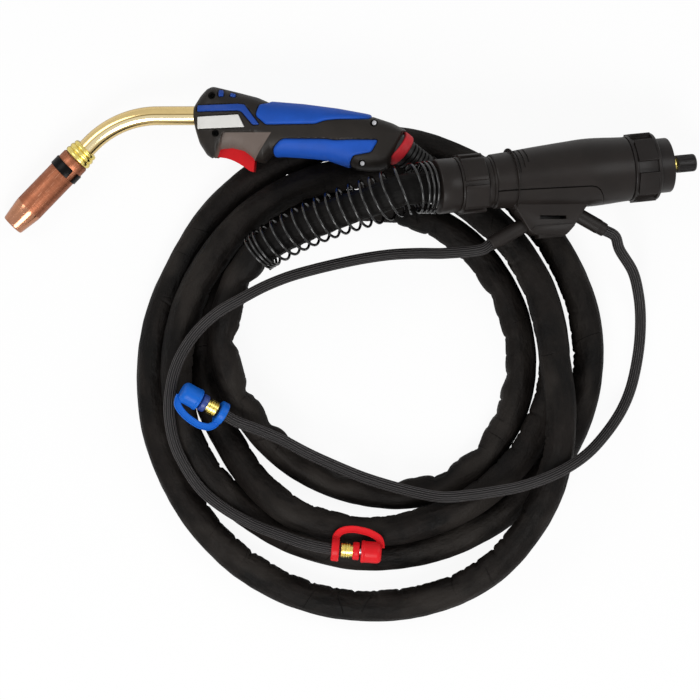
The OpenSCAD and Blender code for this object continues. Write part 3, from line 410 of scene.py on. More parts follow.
def bevelled(obj, width, segments=2, angle=32):
    return modify(
        obj, "BEVEL", width=width, segments=segments, limit_method="ANGLE", angle_limit=math.radians(angle),
        use_clamp_overlap=True,
    )


def copied(obj, name, matrix):
    """A copy with its own mesh, moved by a matrix."""
    twin = obj.copy()
    twin.data = obj.data.copy()
    twin.name = twin.data.name = name
    bpy.context.scene.collection.objects.link(twin)
    return move(twin, matrix)


def surface_grid(name, points, wrap=True, caps=True, uv=None):
    """A mesh from rows of points in metres. Rows that wrap close to a tube."""
    rows, cols = points.shape[:2]
    index = np.arange(rows * cols).reshape(rows, cols)
    around = np.roll(index, -1, axis=1) if wrap else index[:, 1:]
    near = index if wrap else index[:, :-1]
    faces = np.stack([near[:-1], around[:-1], around[1:], near[1:]], axis=-1).reshape(-1, 4).tolist()
    if caps:
        faces.append(index[0, ::-1].tolist())
        faces.append(index[-1].tolist())
    mesh = bpy.data.meshes.new(name)
    mesh.from_pydata(points.reshape(-1, 3).tolist(), [], faces)
    obj = bpy.data.objects.new(name, mesh)
    bpy.context.scene.collection.objects.link(obj)
    if uv is not None:
        across, along = uv
        width = cols if wrap else cols - 1
        u = np.stack([across[:width], across[1:width + 1], across[1:width + 1], across[:width]], -1)
        v = np.stack([along[:-1], along[:-1], along[1:], along[1:]], -1)
        corners = np.zeros((len(mesh.loops), 2), np.float32)
        quads = (rows - 1) * width * 4
        corners[:quads, 0] = np.tile(u.reshape(-1), rows - 1)
        corners[:quads, 1] = np.repeat(v, width, axis=0).reshape(-1)
        mesh.uv_layers.new(name="UVMap").data.foreach_set("uv", corners.reshape(-1))
    edit(obj)
    bpy.ops.mesh.select_all(action="SELECT")
    bpy.ops.mesh.normals_make_consistent(inside=False)
    bpy.ops.object.mode_set(mode="OBJECT")
    return obj


def smooth(obj, angle=35):
    deselect()
    bpy.context.view_layer.objects.active = obj
    obj.select_set(True)
    bpy.ops.object.shade_smooth_by_angle(angle=math.radians(angle))


def give(obj, material, slot, body, *nodes, angle=35):
    """Ends a piece: its finish, its body and the plain nodes that it stands for. The record slot is not used."""
    smooth(obj, angle)
    obj.data.materials.clear()
    obj.data.materials.append(material)
    if isinstance(body, tuple):
        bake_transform(obj)
    else:
        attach(obj, body)
    if nodes:
        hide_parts(*nodes)
    return obj


def dress(material, *nodes):
    """Gives CAD nodes that stay a better finish."""
    for node in nodes:
        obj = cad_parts[node]
        obj.data.materials.clear()
        obj.data.materials.append(material)


# ---- Smooth lines ----
def smooth_at(values, t):
    """Catmull-Rom value of a list of points at fractional indices."""
    values = np.asarray(values, float)
    last = len(values) - 1
    i = np.minimum(np.floor(t).astype(int), last - 1)
    f = t - i
    a, b, c, d = (values[np.clip(i + k, 0, last)] for k in (-1, 0, 1, 2))
    if values.ndim > 1:
        f = f[:, None]
    return 0.5 * (2 * b + (c - a) * f + (2 * a - 5 * b + 4 * c - d) * f**2 + (3 * b - a - 3 * c + d) * f**3)


def even_line(points, step):
    """The same line with points at even distances, and each point's distance from the start."""
    points = np.asarray(points, float)
    run = np.concatenate([[0], np.cumsum(np.linalg.norm(np.diff(points, axis=0), axis=1))])
    count = max(2, int(round(run[-1] / step)) + 1)
    s = np.linspace(0, run[-1], count)
    return np.stack([np.interp(s, run, points[:, k]) for k in range(3)], axis=1), s


def line_frames(line):
    """Direction, side and up of a line at each of its points. The side points to the line's right."""
    direction = np.gradient(line, axis=0)
    direction /= np.linalg.norm(direction, axis=1)[:, None]
    side = np.cross(direction, (0, 0, 1))
    side /= np.linalg.norm(side, axis=1)[:, None]
    return direction, side, np.cross(side, direction)


def noise_values(points, seed):
    """Smooth noise from -1 to 1 at an array of points."""
    offset = Vector((seed * 7.31, seed * 3.17, seed * 5.77))
    return np.array([noise.noise(Vector(p) + offset) for p in points])


# ---- Routes of the hoses, in metres ----
COIL_AT = (0.1243, -0.1646)
LYING = 0.01001
LOOP_REACH = (
    (0.152, 0.151, 0.152, 0.176, 0.199, 0.203, 0.198, 0.188, 0.179, 0.173, 0.178, 0.1805)
    + (0.180, 0.1785, 0.180, 0.173, 0.164, 0.1605, 0.160, 0.163, 0.159, 0.154, 0.1543, 0.154)
    + (0.1525, 0.151, 0.1515, 0.148, 0.1425, 0.141, 0.140, 0.134, 0.138, 0.137, 0.133, 0.127)
    + (0.125, 0.1235, 0.124, 0.1235, 0.120, 0.108, 0.104, 0.107, 0.119, 0.127)
)
LOOP_HEIGHT = (
    (0.037, 0.039, 0.041, 0.041, 0.025) + (LYING,) * 7
    + (LYING,) * 7 + (0.0213, 0.0296, 0.031, 0.0294, 0.0146)
    + (LYING, LYING, 0.012, 0.0225, 0.028, 0.030, 0.034, 0.015) + (LYING,) * 4
    + (LYING,) * 6 + (0.014, 0.025, 0.035, 0.0415)
)
LOOP_START, LOOP_STEP, RING_STEP = -60, 30, 15
RISE = (
    (0.0298, -0.079, 0.0495), (0.0505, -0.065, 0.0575), (0.073, -0.0535, 0.0665), (0.098, -0.0435, 0.075),
    (0.125, -0.0345, 0.0825),
)
WATER_LYING = 0.00368
RED_ROUTE = (
    (0.186, -0.077, 0.064), (0.164, -0.077, 0.057), (0.142, -0.078, 0.051), (0.120, -0.081, 0.048),
    (0.100, -0.085, 0.048), (0.079, -0.090, 0.051), (0.058, -0.096, 0.0545), (0.038, -0.104, 0.058),
    (0.019, -0.114, 0.060), (0.0, -0.125, 0.058), (-0.016, -0.139, 0.0535), (-0.028, -0.155, 0.0515),
    (-0.036, -0.172, 0.051), (-0.040, -0.190, 0.0495), (-0.041, -0.209, 0.045), (-0.037, -0.232, 0.039),
    (-0.028, -0.252, 0.034), (-0.014, -0.272, 0.031), (0.006, -0.288, 0.031), (0.028, -0.300, 0.0315),
    (0.050, -0.3085, 0.037), (0.072, -0.316, 0.0445),
)
BLUE_ROUTE = (
    (0.330, -0.074, 0.031), (0.341, -0.092, 0.020), (0.346, -0.112, 0.008), (0.3475, -0.131, WATER_LYING),
    (0.3465, -0.152, WATER_LYING), (0.343, -0.174, WATER_LYING), (0.338, -0.192, 0.009), (0.330, -0.209, 0.018),
    (0.318, -0.226, 0.030), (0.304, -0.241, 0.044), (0.287, -0.253, 0.057), (0.268, -0.262, 0.0605),
    (0.247, -0.269, 0.055), (0.226, -0.273, 0.050), (0.205, -0.276, 0.0455), (0.184, -0.2775, 0.0405),
    (0.163, -0.274, 0.034), (0.140, -0.268, 0.031), (0.118, -0.261, 0.030), (0.096, -0.252, 0.031),
    (0.074, -0.242, 0.0355), (0.053, -0.231, 0.041), (0.032, -0.222, 0.047),
)


def rise_points(steps):
    """The rise through the support spring, from the last loop's end to the connector."""
    ends = [on_axis(PLUG, -0.026), on_axis(PLUG, 0)]
    route = [tuple(loop_point(LOOP_START + LOOP_STEP * (len(LOOP_REACH) - 1)))] + list(RISE) + [tuple(e) for e in ends]
    return smooth_at(route, np.arange(steps * (len(route) - 1) + 1) / steps)


def loop_point(a):
    """A point of the coiled hose's axis at an angle clockwise round the coil's middle."""
    t = np.array([(a - LOOP_START) / LOOP_STEP])
    reach, height = smooth_at(LOOP_REACH, t)[0], smooth_at(LOOP_HEIGHT, t)[0]
    turn = math.radians(a)
    return COIL_AT[0] + reach * math.cos(turn), COIL_AT[1] - reach * math.sin(turn), height


def hose_line():
    """The main hose's axis as the frame has it, rounded between its rings."""
    end = LOOP_START + LOOP_STEP * (len(LOOP_REACH) - 1)
    line = [on_axis(OUTLET, 0.030), on_axis(OUTLET, 0.0456)]
    line += [loop_point(a) for a in range(LOOP_START, end + 1, RING_STEP)]
    line += [tuple(p) for p in rise_points(2)[1:-1]]
    line += [on_axis(PLUG, -0.0026), on_axis(PLUG, 0)]
    return smooth_at([tuple(p) for p in line], np.arange(8 * (len(line) - 1) + 1) / 8)


def water_line(route, relief, free, end, back):
    """A water hose's axis from its strain relief to its coupling."""
    line = [on_axis(relief, free), on_axis(relief, free + 0.010), *route]
    line += [on_axis(end, x) for x in back + (0, 0.0078)]
    return smooth_at([tuple(p) for p in line], np.arange(8 * (len(line) - 1) + 1) / 8)


def hose_tube(name, line, step, sides, radius_at):
    """A tube round a line whose radius is worked out for every point, with a UV map in metres."""
    line, run = even_line(line, step)
    _, side, up = line_frames(line)
    angle = np.arange(sides) * 2 * math.pi / sides
    radius = radius_at(line, run, angle)
    points = line[:, None] + radius[..., None] * (
        np.cos(angle)[None, :, None] * side[:, None] + np.sin(angle)[None, :, None] * up[:, None]
    )
    points[..., 2] = np.maximum(points[..., 2], 0)
    across = np.arange(sides + 1) / sides * 2 * math.pi * float(radius.max())
    return surface_grid(name, points, uv=(across, run)), line


# ---- Main hose ----
def jacket_finish():
    colours = bpy.context.scene.torch_colours
    s = Shader("hose_jacket_finish")
    point = s.place()
    weave = s.noise(s.along((1400, 500)), 1.0, 2, 0.5)
    rumple = s.noise(s.along((70, 34)), 1.0, 4, 0.62)
    streak = s.noise(s.along((240, 22)), 1.0, 4, 0.6)
    cloud = s.noise(point, 24, 4, 0.6)
    worn = s.noise(s.along((26, 13)), 1.0, 3, 0.5).between(0.46, 0.66)
    # Thin crease lines: pressed in by the bump, and darkened in colour as painted shade inside the creases.
    crease_and_painted_shade = (s.noise(s.along((9, 26)), 1.0, 2, 0.4) - 0.5).maths("ABSOLUTE").between(0.009, 0.0)
    crease_and_painted_shade = crease_and_painted_shade * s.noise(s.along((20, 15)), 1.0, 2).between(0.50, 0.62)
    dust = s.noise(point, 130, 5, 0.7).between(0.55, 0.8)
    base = s.blend(cloud.between(0.35, 0.65), shade(colours.jacket, 0.25), shade(colours.jacket, 1.3))
    base = s.blend(worn * 0.8, base, (0.0215, 0.0182, 0.0158))
    base = s.blend(streak.between(0.52, 0.8) * 0.5, base, shade(colours.jacket, 2.0))
    base = s.blend(rumple.between(0.5, 0.78) * 0.6, base, shade(colours.jacket, 2.6))
    base = s.blend(dust * 0.25, base, shade(colours.jacket, 3.4))
    # Painted shade along the creases.
    base = s.blend(crease_and_painted_shade * 0.4, base, shade(colours.jacket, 0.12))
    base = s.blend(s.axis(s.along((1, 1)), 1).between(3.655, 3.675) * 0.8, base, (0.0012, 0.0010, 0.0009))
    roughness = 0.55 + cloud * 0.16 - 0.08 + streak * 0.08
    height = weave * 0.2 + streak * 0.8 + s.noise(point, 260, 4) * 0.5 + rumple * 8 - crease_and_painted_shade * 1.2
    return s.finish(base, roughness, s.bump(height, 0.0004), Specular_IOR_Level=0.1)


def hose_creases(line, run, angle):
    """The jacket's radius: creases on the inside of the bends, folds in the tight strands, long soft ridges."""
    sizes = bpy.context.scene.torch_sizes
    draw = random.Random(11)
    rings, sides = len(run), len(angle)
    radius = np.full((rings, sides), sizes.hose_width / 2)
    turn = np.unwrap(np.arctan2(np.gradient(line[:, 1]), np.gradient(line[:, 0])))
    bend = np.clip(-np.gradient(turn, run) * 0.13, 0, 1.6)
    inner = np.clip(np.cos(angle), 0, 1) ** 1.2
    broad = np.clip(0.25 + np.cos(angle), 0, 1)
    here = draw.uniform(0.006, 0.012)
    while here < run[-1] - 0.012:
        depth, width = draw.uniform(0.3, 1.0), draw.uniform(0.0016, 0.0034)
        skew, reach = draw.uniform(-0.004, 0.004), draw.uniform(0.75, 1.5)
        lean = here + skew * np.sin(angle)
        shape = np.exp(-np.abs(run[:, None] - lean[None]) / width) * inner[None] ** reach
        radius -= sizes.crease_depth * depth * bend[:, None] * shape
        here += draw.uniform(0.011, 0.023)
    tight = np.interp(run / run[-1], (0, 0.30, 0.34, 0.66, 0.72, 0.82, 0.86, 0.94, 0.97, 1), (0.2, 0.2, 0.15, 0.2, 0.35, 0.4, 1, 1, 0.2, 0))
    here = 0.05
    while here < run[-1] - 0.03:
        depth, width = draw.uniform(0.35, 1.0), draw.uniform(0.0060, 0.0120)
        lean = here + draw.uniform(-0.006, 0.006) * np.sin(angle + draw.uniform(0, 6.28))
        shape = np.exp(-(((run[:, None] - lean[None]) / width) ** 2)) * broad[None]
        radius -= sizes.fold_depth * depth * tight[:, None] * shape
        here += draw.uniform(0.030, 0.056)
    grid = np.stack(
        [
            np.broadcast_to(run[:, None] * 22, (rings, sides)),
            np.broadcast_to(np.cos(angle)[None] * 1.1, (rings, sides)),
            np.broadcast_to(np.sin(angle)[None] * 1.1, (rings, sides)),
        ],
        axis=-1,
    ).reshape(-1, 3)
    soft = noise_values(grid, 1).reshape(rings, sides)
    ridge = noise_values(grid * (0.5, 3.4, 3.4), 2).reshape(rings, sides)
    fine = noise_values(grid * (5.0, 4.5, 4.5), 3).reshape(rings, sides)
    radius += 0.00085 * soft + 0.00075 * ridge + 0.00028 * fine
    ends = np.clip(np.minimum(run, run[-1] - run) / 0.02, 0, 1)[:, None]
    return sizes.hose_width / 2 + (radius - sizes.hose_width / 2) * ends


class TORCH_OT_main_hose(bpy.types.Operator):
    bl_idname = "torch.main_hose"
    bl_label = "Main hose"

    def execute(self, context):
        sizes = context.scene.torch_sizes
        obj, line = hose_tube("main_hose_jacket", hose_line(), sizes.hose_ring, 32, hose_creases)
        give(obj, jacket_finish(), "hose_jacket", "torch", "main_hose", angle=80)
        [tuple(p) for p in line[::3]] + [tuple(line[-1])]
        return {"FINISHED"}


# ---- Water hoses ----
RIBS = 15


def water_finish():
    colours = bpy.context.scene.torch_colours
    s = Shader("water_hose_finish")
    point = s.place()
    streak = s.noise(s.along((900, 40)), 1.0, 3, 0.6)
    weave = s.noise(s.along((2200, 1500)), 1.0, 1)
    dust = s.noise(point, 180, 4, 0.65).between(0.5, 0.8)
    turn = s.axis(s.along((RIBS / 0.0046, 1)), 0)
    # The crown of each rib also lifts the bump, and its colour is a painted highlight along the rib.
    rib_crown_and_painted_highlight = turn.maths("COSINE").between(0.74, 0.97)
    base = s.blend(streak.between(0.35, 0.7), shade(colours.water, 0.3), shade(colours.water, 0.8))
    # Painted highlight on the rib crowns.
    base = s.blend(rib_crown_and_painted_highlight * 0.9, base, shade(colours.water, 19))
    base = s.blend(dust * 0.2, base, shade(colours.water, 4.0))
    height = streak + weave * 0.3 + rib_crown_and_painted_highlight
    return s.finish(base, 0.46 + streak * 0.14, s.bump(height, 0.00012), Specular_IOR_Level=0.22)


def ribbed_radius(line, run, angle):
    """The water hose's radius: narrow ribs that run along it."""
    sizes = bpy.context.scene.torch_sizes
    ribs = np.clip(np.cos(angle * RIBS), 0, 1) ** 2
    return np.broadcast_to(sizes.water_width / 2 - sizes.rib_height * (1 - ribs), (len(run), len(angle))).copy()


class TORCH_OT_water_hoses(bpy.types.Operator):
    bl_idname = "torch.water_hoses"
    bl_label = "Water hoses"

    def execute(self, context):
        finish = water_finish()
        for colour, route, relief, free, end, back, run in (
            ("red", RED_ROUTE, LEFT_RELIEF, 0.030, RED_END, (), 0.535),
            ("blue", BLUE_ROUTE, RIGHT_RELIEF, 0.021, BLUE_END, (-0.012,), 0.563),
        ):
            path = water_line(route, relief, free, end, back)
            obj, line = hose_tube(f"{colour}_water_hose", path, 0.0022, 60, ribbed_radius)
            give(obj, finish, "water_rubber", "torch", f"{colour}_hose", angle=60)
            [tuple(p) for p in line[::2]] + [tuple(line[-1])]
        return {"FINISHED"}


# ---- Support spring ----
SPRING_CURLS, CLOSED_CURLS, CLOSED_PITCH, SPRING_LENGTH, TANG = 20, 3, 0.0036, 0.161, 0.0042


class TORCH_OT_spring(bpy.types.Operator):
    """Winds the support spring round the hose's rise"""

    bl_idname = "torch.spring"
    bl_label = "Support spring"

    def execute(self, context):
        sizes = context.scene.torch_sizes
        rise = rise_points(40)[::-1]
        back = np.concatenate([[0], np.cumsum(np.linalg.norm(np.diff(rise, axis=0), axis=1))])
        turns = np.arange(SPRING_CURLS * 36 + 1) / 36
        open_pitch = (SPRING_LENGTH - 2 * CLOSED_CURLS * CLOSED_PITCH) / (SPRING_CURLS - 2 * CLOSED_CURLS)
        late = np.maximum(0, turns - (SPRING_CURLS - CLOSED_CURLS))
        middle = np.maximum(0, np.minimum(turns, SPRING_CURLS - CLOSED_CURLS) - CLOSED_CURLS)
        away = TANG + SPRING_LENGTH - CLOSED_PITCH * (np.minimum(turns, CLOSED_CURLS) + late) - open_pitch * middle
        centre = np.stack([np.interp(away, back, rise[:, k]) for k in range(3)], axis=1)
        ahead = np.stack([np.interp(np.maximum(away - 0.0005, 0), back, rise[:, k]) for k in range(3)], axis=1)
        behind = np.stack([np.interp(away + 0.0005, back, rise[:, k]) for k in range(3)], axis=1)
        along = (ahead - behind) / np.linalg.norm(ahead - behind, axis=1)[:, None]
        side = np.cross(along, (0, 0, 1))
        side /= np.linalg.norm(side, axis=1)[:, None]
        up = np.cross(side, along)
        turn = 2 * math.pi * turns
        out = np.cos(turn)[:, None] * side - np.sin(turn)[:, None] * up
        radius = (0.035 + 0.009 * turns / SPRING_CURLS - sizes.wire_width) / 2
        line = centre + out * radius[:, None]
        tang = [line[-1] - a * MM * up[-1] + b * MM * along[-1] for a, b in ((1.3, 0.5), (2.2, 1.7), (2.3, 4.55))]
        line = np.concatenate([line, tang])
        out = np.concatenate([out, np.repeat(side[-1:], 3, axis=0)])
        direction = np.gradient(line, axis=0)
        direction /= np.linalg.norm(direction, axis=1)[:, None]
        lift = np.cross(out, direction)
        lift /= np.linalg.norm(lift, axis=1)[:, None]
        across = np.cross(direction, lift)
        angle = np.arange(12) * 2 * math.pi / 12
        wire = sizes.wire_width / 2 * (
            np.cos(angle)[None, :, None] * across[:, None] + np.sin(angle)[None, :, None] * lift[:, None]
        )
        obj = surface_grid("support_spring_wire", line[:, None] + wire)
        s = Shader("spring_finish")
        black = context.scene.torch_colours.black_steel
        point = s.place()
        chip = s.noise(point, 320, 4, 0.7).between(0.62, 0.7)
        cloud = s.noise(point, 60, 3)
        base = s.blend(chip * 0.6, shade(black, 0.8), (0.16, 0.15, 0.14))
        finish = s.finish(base, 0.06 + cloud * 0.06, s.bump(cloud + chip, 0.00001), Specular_IOR_Level=0.6)
        give(obj, finish, "black_steel", "torch", "support_spring", angle=60)
        return {"FINISHED"}


# ---- Nozzle, collar and neck ----
class TORCH_OT_nozzle(bpy.types.Operator):
    """Turns the gas nozzle with its clip and finishes what is seen through its mouth"""

    bl_idname = "torch.nozzle"
    bl_label = "Gas nozzle"

    def execute(self, context):
        sizes, colours = context.scene.torch_sizes, context.scene.torch_colours
        s = Shader("nozzle_copper_finish")
        local = s.place(NOZZLE)
        along = s.axis(local, 0)
        ring = s.noise(s.place(NOZZLE, (2300, 24, 24)), 1.0, 3, 0.6)
        scratch = s.noise(s.place(NOZZLE, (90, 1500, 1500)), 1.0, 2, 0.7).between(0.58, 0.68)
        stain = s.noise(s.place(), 55, 5, 0.7).between(0.42, 0.75)
        heat = along.between(0.112, 0.126)
        # The taper is polished, with lower roughness there; its lighter colour is a painted highlight.
        polish_and_painted_highlight = along.between(0.1058, 0.1066)
        base = s.blend(ring.between(0.25, 0.75), shade(colours.copper, 0.82), shade(colours.copper, 1.18))
        base = s.blend(stain * 0.4, base, shade(colours.copper, 0.62))
        # Painted highlight on the taper.
        base = s.blend(polish_and_painted_highlight * 0.35, base, (0.80, 0.42, 0.25))
        base = s.blend(heat * 0.3, base, (0.40, 0.20, 0.14))
        base = s.blend(scratch * 0.4, base, (0.80, 0.42, 0.27))
        rough = 0.34 + ring * 0.14 + stain * 0.12 - polish_and_painted_highlight * 0.26
        copper = s.finish(base, rough, s.bump(ring + scratch, 0.00002), Metallic=1.0)
        tube = turned(
            "gas_nozzle_tube",
            [
                (50.3, 10.05), (50.3, 11.3), (50.7, 11.9), (51.4, 12.25), (57.9, 12.25), (57.9, 11.9), (66.1, 11.9),
                (66.1, 12.25), (106.2, 12.25), (107.6, 12.2), (109.4, 12.02), (124.6, 9.68), (125.5, 9.45),
                (126, 9.1), (126, 8.35), (125.6, 8.0), (107, 8.0), (103, 10.05), (50.3, 10.05),
            ],
            steps=128,
        )
        bevelled(tube, 0.00012, 2)
        move(tube, NOZZLE)
        give(tube, copper, "nozzle_copper", "nozzle", "gas_nozzle", angle=30)
        clip = turned("nozzle_clip_band", [(58, 11.95), (58, 13.25), (66, 13.25), (66, 11.95), (58, 11.95)], 128)
        split = block("clip_split", (57, -3.0, 0), (67, 3.0, 20))
        cut(clip, move(split, Matrix.Rotation(math.radians(-42), 4, "X")))
        bevelled(clip, 0.00025, 3)
        move(clip, NOZZLE)
        steel = moulded("clip_finish", shade(colours.black_steel, 0.5), rough=0.3, grain=0.00001, gloss=0.1, worn=3.0)
        give(clip, steel, "black_steel", "nozzle", "nozzle_clip")
        brass = turned_metal("tip_holder_finish", NOZZLE, colours.brass, 0.3)
        dress(turned_metal("contact_tip_finish", NOZZLE, colours.copper, 0.28), "contact_tip")
        dress(brass, "tip_holder")
        dress(rubbery("insulator_finish", colours.insulator, 0.8, 0.00008), "gas_diffuser")
        return {"FINISHED"}


def neck_finish():
    """Drawn brass with a painted highlight band along the middle of the pipe between two painted dark reflection lines.
    """
    brass = bpy.context.scene.torch_colours.brass
    s = Shader("neck_brass_finish")
    point, local = s.place(), s.place(GUN)
    x, y = s.axis(local, 0) + 0.03121, s.axis(local, 1) + 0.078
    turn = math.radians(45.6)
    bend = (x * x + y * y) ** 0.5
    late = y * math.cos(turn) - x * math.sin(turn)
    off = bend + (y - bend) * x.maths("GREATER_THAN", 0)
    off = off + (late - bend) * (x * math.cos(turn) + y * math.sin(turn)).maths("LESS_THAN", 0) - 0.078
    cloud = s.noise(point, 60, 4, 0.6)
    stain = s.noise(point, 90, 5, 0.65).between(0.5, 0.76)
    fine = s.noise(s.place(GUN, (90, 90, 90)), 1.0, 2, 0.5)
    # Painted reflections: line and low are two dark lines along the pipe, and the band between them is a painted
    # highlight.
    line = (off - 0.0010).maths("ABSOLUTE").between(0.00085, 0.0001)
    low = (off + 0.0052).maths("ABSOLUTE").between(0.0013, 0.0002)
    painted_highlight_band = (off + 0.0018).maths("ABSOLUTE").between(0.0029, 0.0016)
    base = s.blend(cloud.between(0.3, 0.7), shade(brass, 0.93), shade(brass, 1.03))
    # The painted highlight band, then the two painted dark reflection lines.
    base = s.blend(painted_highlight_band * 0.6, base, (0.95, 0.84, 0.56))
    base = s.blend((line + low * 0.7) * 0.8, base, (0.20, 0.13, 0.04))
    base = s.blend(stain * 0.22, base, shade(brass, 0.7))
    return s.finish(base, 0.1 + cloud * 0.05 + stain * 0.06, s.bump(fine, 0.00001), Metallic=1.0)


class TORCH_OT_neck(bpy.types.Operator):
    """Bends the brass neck and turns its collar"""

    bl_idname = "torch.neck"
    bl_label = "Neck and collar"

    def execute(self, context):
        colours = context.scene.torch_colours
        tangent = 78 * math.tan(math.radians(22.8))
        deselect()
        bpy.ops.mesh.primitive_circle_add(vertices=72, radius=7.5 * MM, fill_type="NGON")
        pipe = bpy.context.object
        pipe.name = pipe.data.name = "bent_neck_pipe"
        move(pipe, Matrix.Translation((0.026, 0, 0)) @ Matrix.Rotation(math.radians(90), 4, "Y"))
        edit(pipe)
        bpy.ops.mesh.select_all(action="SELECT")
        corner = Vector(((tangent - 64) * MM, 0, 0))
        bpy.ops.mesh.extrude_region_move(TRANSFORM_OT_translate={"value": (-26.3 * MM, 0, 0)})
        bpy.ops.transform.resize(value=(1, 7.8 / 7.5, 7.8 / 7.5), center_override=(-0.3 * MM, 0, 0))
        bpy.ops.mesh.extrude_region_move(TRANSFORM_OT_translate={"value": (corner.x + 0.3 * MM, 0, 0)})
        hub = (corner.x, -0.078, 0)
        bpy.ops.mesh.spin(steps=40, angle=-math.radians(45.6), center=hub, axis=(0, 0, 1))
        ahead = Vector((-math.cos(math.radians(45.6)), -math.sin(math.radians(45.6)), 0))
        bpy.ops.mesh.extrude_region_move(TRANSFORM_OT_translate={"value": ahead * (46.9 - tangent) * MM})
        close_up()
        bpy.ops.object.mode_set(mode="OBJECT")
        move(pipe, GUN)
        give(pipe, neck_finish(), "neck_brass", "torch", "neck_tube")
        collar = turned(
            "neck_collar_beads",
            [
                (37.6, 7.9), (37.6, 9.4), (37.9, 10.1), (38.6, 10.7), (39.6, 11.0), (40.4, 10.9), (40.9, 10.6),
                (41.1, 10.3), (41.4, 10.6), (41.9, 11.2), (42.8, 11.7), (43.8, 11.8), (44.6, 11.6), (45.1, 11.2),
                (45.3, 10.9), (45.6, 11.2), (46.2, 11.8), (47.2, 12.2), (48.3, 12.2), (49.2, 11.8), (49.8, 11.1),
                (50.0, 10.2), (50.0, 0),
            ],
            steps=112,
        )
        move(collar, NOZZLE)
        bright = turned_metal("collar_brass_finish", NOZZLE, colours.bright_brass, 0.14, (3000, 30, 30), 0.25, 0.7)
        give(collar, bright, "collar_brass", "torch", "neck_collar", angle=50)
        return {"FINISHED"}


# ---- Handle ----
HANDLE_LENGTH, HANDLE_HIGH, HANDLE_THICK, SECTION_POWER = 174.0, 66.0, 38.0, 2.6
PROFILE_TOP = np.array((
    (0, 0.12), (0.03, 0.25), (0.06, 0.335), (0.085, 0.362), (0.11, 0.348), (0.2, 0.29), (0.3, 0.222),
    (0.36, 0.152), (0.52, 0.117), (0.68, 0.062), (0.85, -0.02), (0.94, -0.098), (1, -0.18),
))
PROFILE_BOTTOM = np.array((
    (0, -0.1), (0.008, -0.2), (0.026, -0.356), (0.06, -0.495), (0.08, -0.53), (0.108, -0.553), (0.127, -0.474),
    (0.183, -0.455), (0.24, -0.49), (0.283, -0.574), (0.335, -0.6), (0.37, -0.5), (0.43, -0.495),
    (0.56, -0.518), (0.64, -0.545), (0.725, -0.624), (0.745, -0.64), (0.78, -0.685), (0.83, -0.7), (0.89, -0.695),
    (0.925, -0.665), (0.94, -0.6), (0.965, -0.45), (0.99, -0.28), (1, -0.2),
))
PROFILE_HALF = np.array((
    (0, 0.6), (0.025, 0.76), (0.07, 0.9), (0.17, 1), (0.6, 1), (0.85, 0.93), (0.95, 0.85), (1, 0.78),
))


def profile(table, x, blur):
    """A profile table's value at stations, with its corners rounded."""
    total = np.zeros_like(x, dtype=float)
    weights = (0.06, 0.24, 0.4, 0.24, 0.06)
    for weight, shift in zip(weights, (-2, -1, 0, 1, 2)):
        total += weight * np.interp(x / HANDLE_LENGTH + shift * blur, table[:, 0], table[:, 1])
    return total


def signed_power(value, power):
    return np.sign(value) * np.abs(value) ** power


def handle_edges(x):
    return HANDLE_HIGH * profile(PROFILE_TOP, x, 0.006), HANDLE_HIGH * profile(PROFILE_BOTTOM, x, 0.0025)


def handle_skin(x, a, lift):
    """Points of the handle's outside in millimetres: a is 0 on the bottom edge and 180 on the top edge."""
    top, bottom = handle_edges(x)
    turn = np.radians(a)
    wide = HANDLE_THICK / 2 * profile(PROFILE_HALF, x, 0.01) + lift
    y = (top + bottom) / 2 - ((top - bottom) / 2 + lift) * signed_power(np.cos(turn), 2 / SECTION_POWER)
    z = wide * np.maximum(np.sin(turn), 0) ** (2 / SECTION_POWER)
    return np.stack([x + np.zeros_like(y), y, z], axis=-1)


def skin_angle(x, y):
    top, bottom = handle_edges(x)
    share = np.clip(((top + bottom) / 2 - y) / ((top - bottom) / 2), -1, 1)
    return np.degrees(np.arccos(signed_power(share, SECTION_POWER / 2)))


def rounded(corners, radius, steps=6):
    """A closed outline with its corners rounded, in millimetres."""
    corners = [np.array(c, float) for c in corners]
    out = []
    for before, here, after in zip(corners[-1:] + corners[:-1], corners, corners[1:] + corners[:1]):
        a, b = before - here, after - here
        reach = min(radius, 0.45 * np.linalg.norm(a), 0.45 * np.linalg.norm(b))
        a, b = here + a / np.linalg.norm(a) * reach, here + b / np.linalg.norm(b) * reach
        for k in range(steps + 1):
            t = k / steps
            out.append((1 - t) ** 2 * a + 2 * t * (1 - t) * here + t**2 * b)
    return np.array(out)


def inside_distance(outline, x, y):
    """How far points lie inside an outline; negative outside it."""
    p = np.stack([x, y], axis=-1)[..., None, :]
    a, b = outline, np.roll(outline, -1, axis=0)
    ab = b - a
    t = np.clip(((p - a) * ab).sum(-1) / np.maximum((ab**2).sum(-1), 1e-9), 0, 1)
    distance = np.linalg.norm(p - (a + t[..., None] * ab), axis=-1).min(-1)
    px, py = x[..., None], y[..., None]
    crosses = (a[:, 1] > py) != (b[:, 1] > py)
    with np.errstate(divide="ignore", invalid="ignore"):
        where = a[:, 0] + (py - a[:, 1]) * ab[:, 0] / ab[:, 1]
    inside = (crosses & (px < where)).sum(-1) % 2 == 1
    return np.where(inside, distance, -distance)


def step(value, low, high):
    t = np.clip((value - low) / (high - low), 0, 1)
    return t * t * (3 - 2 * t)


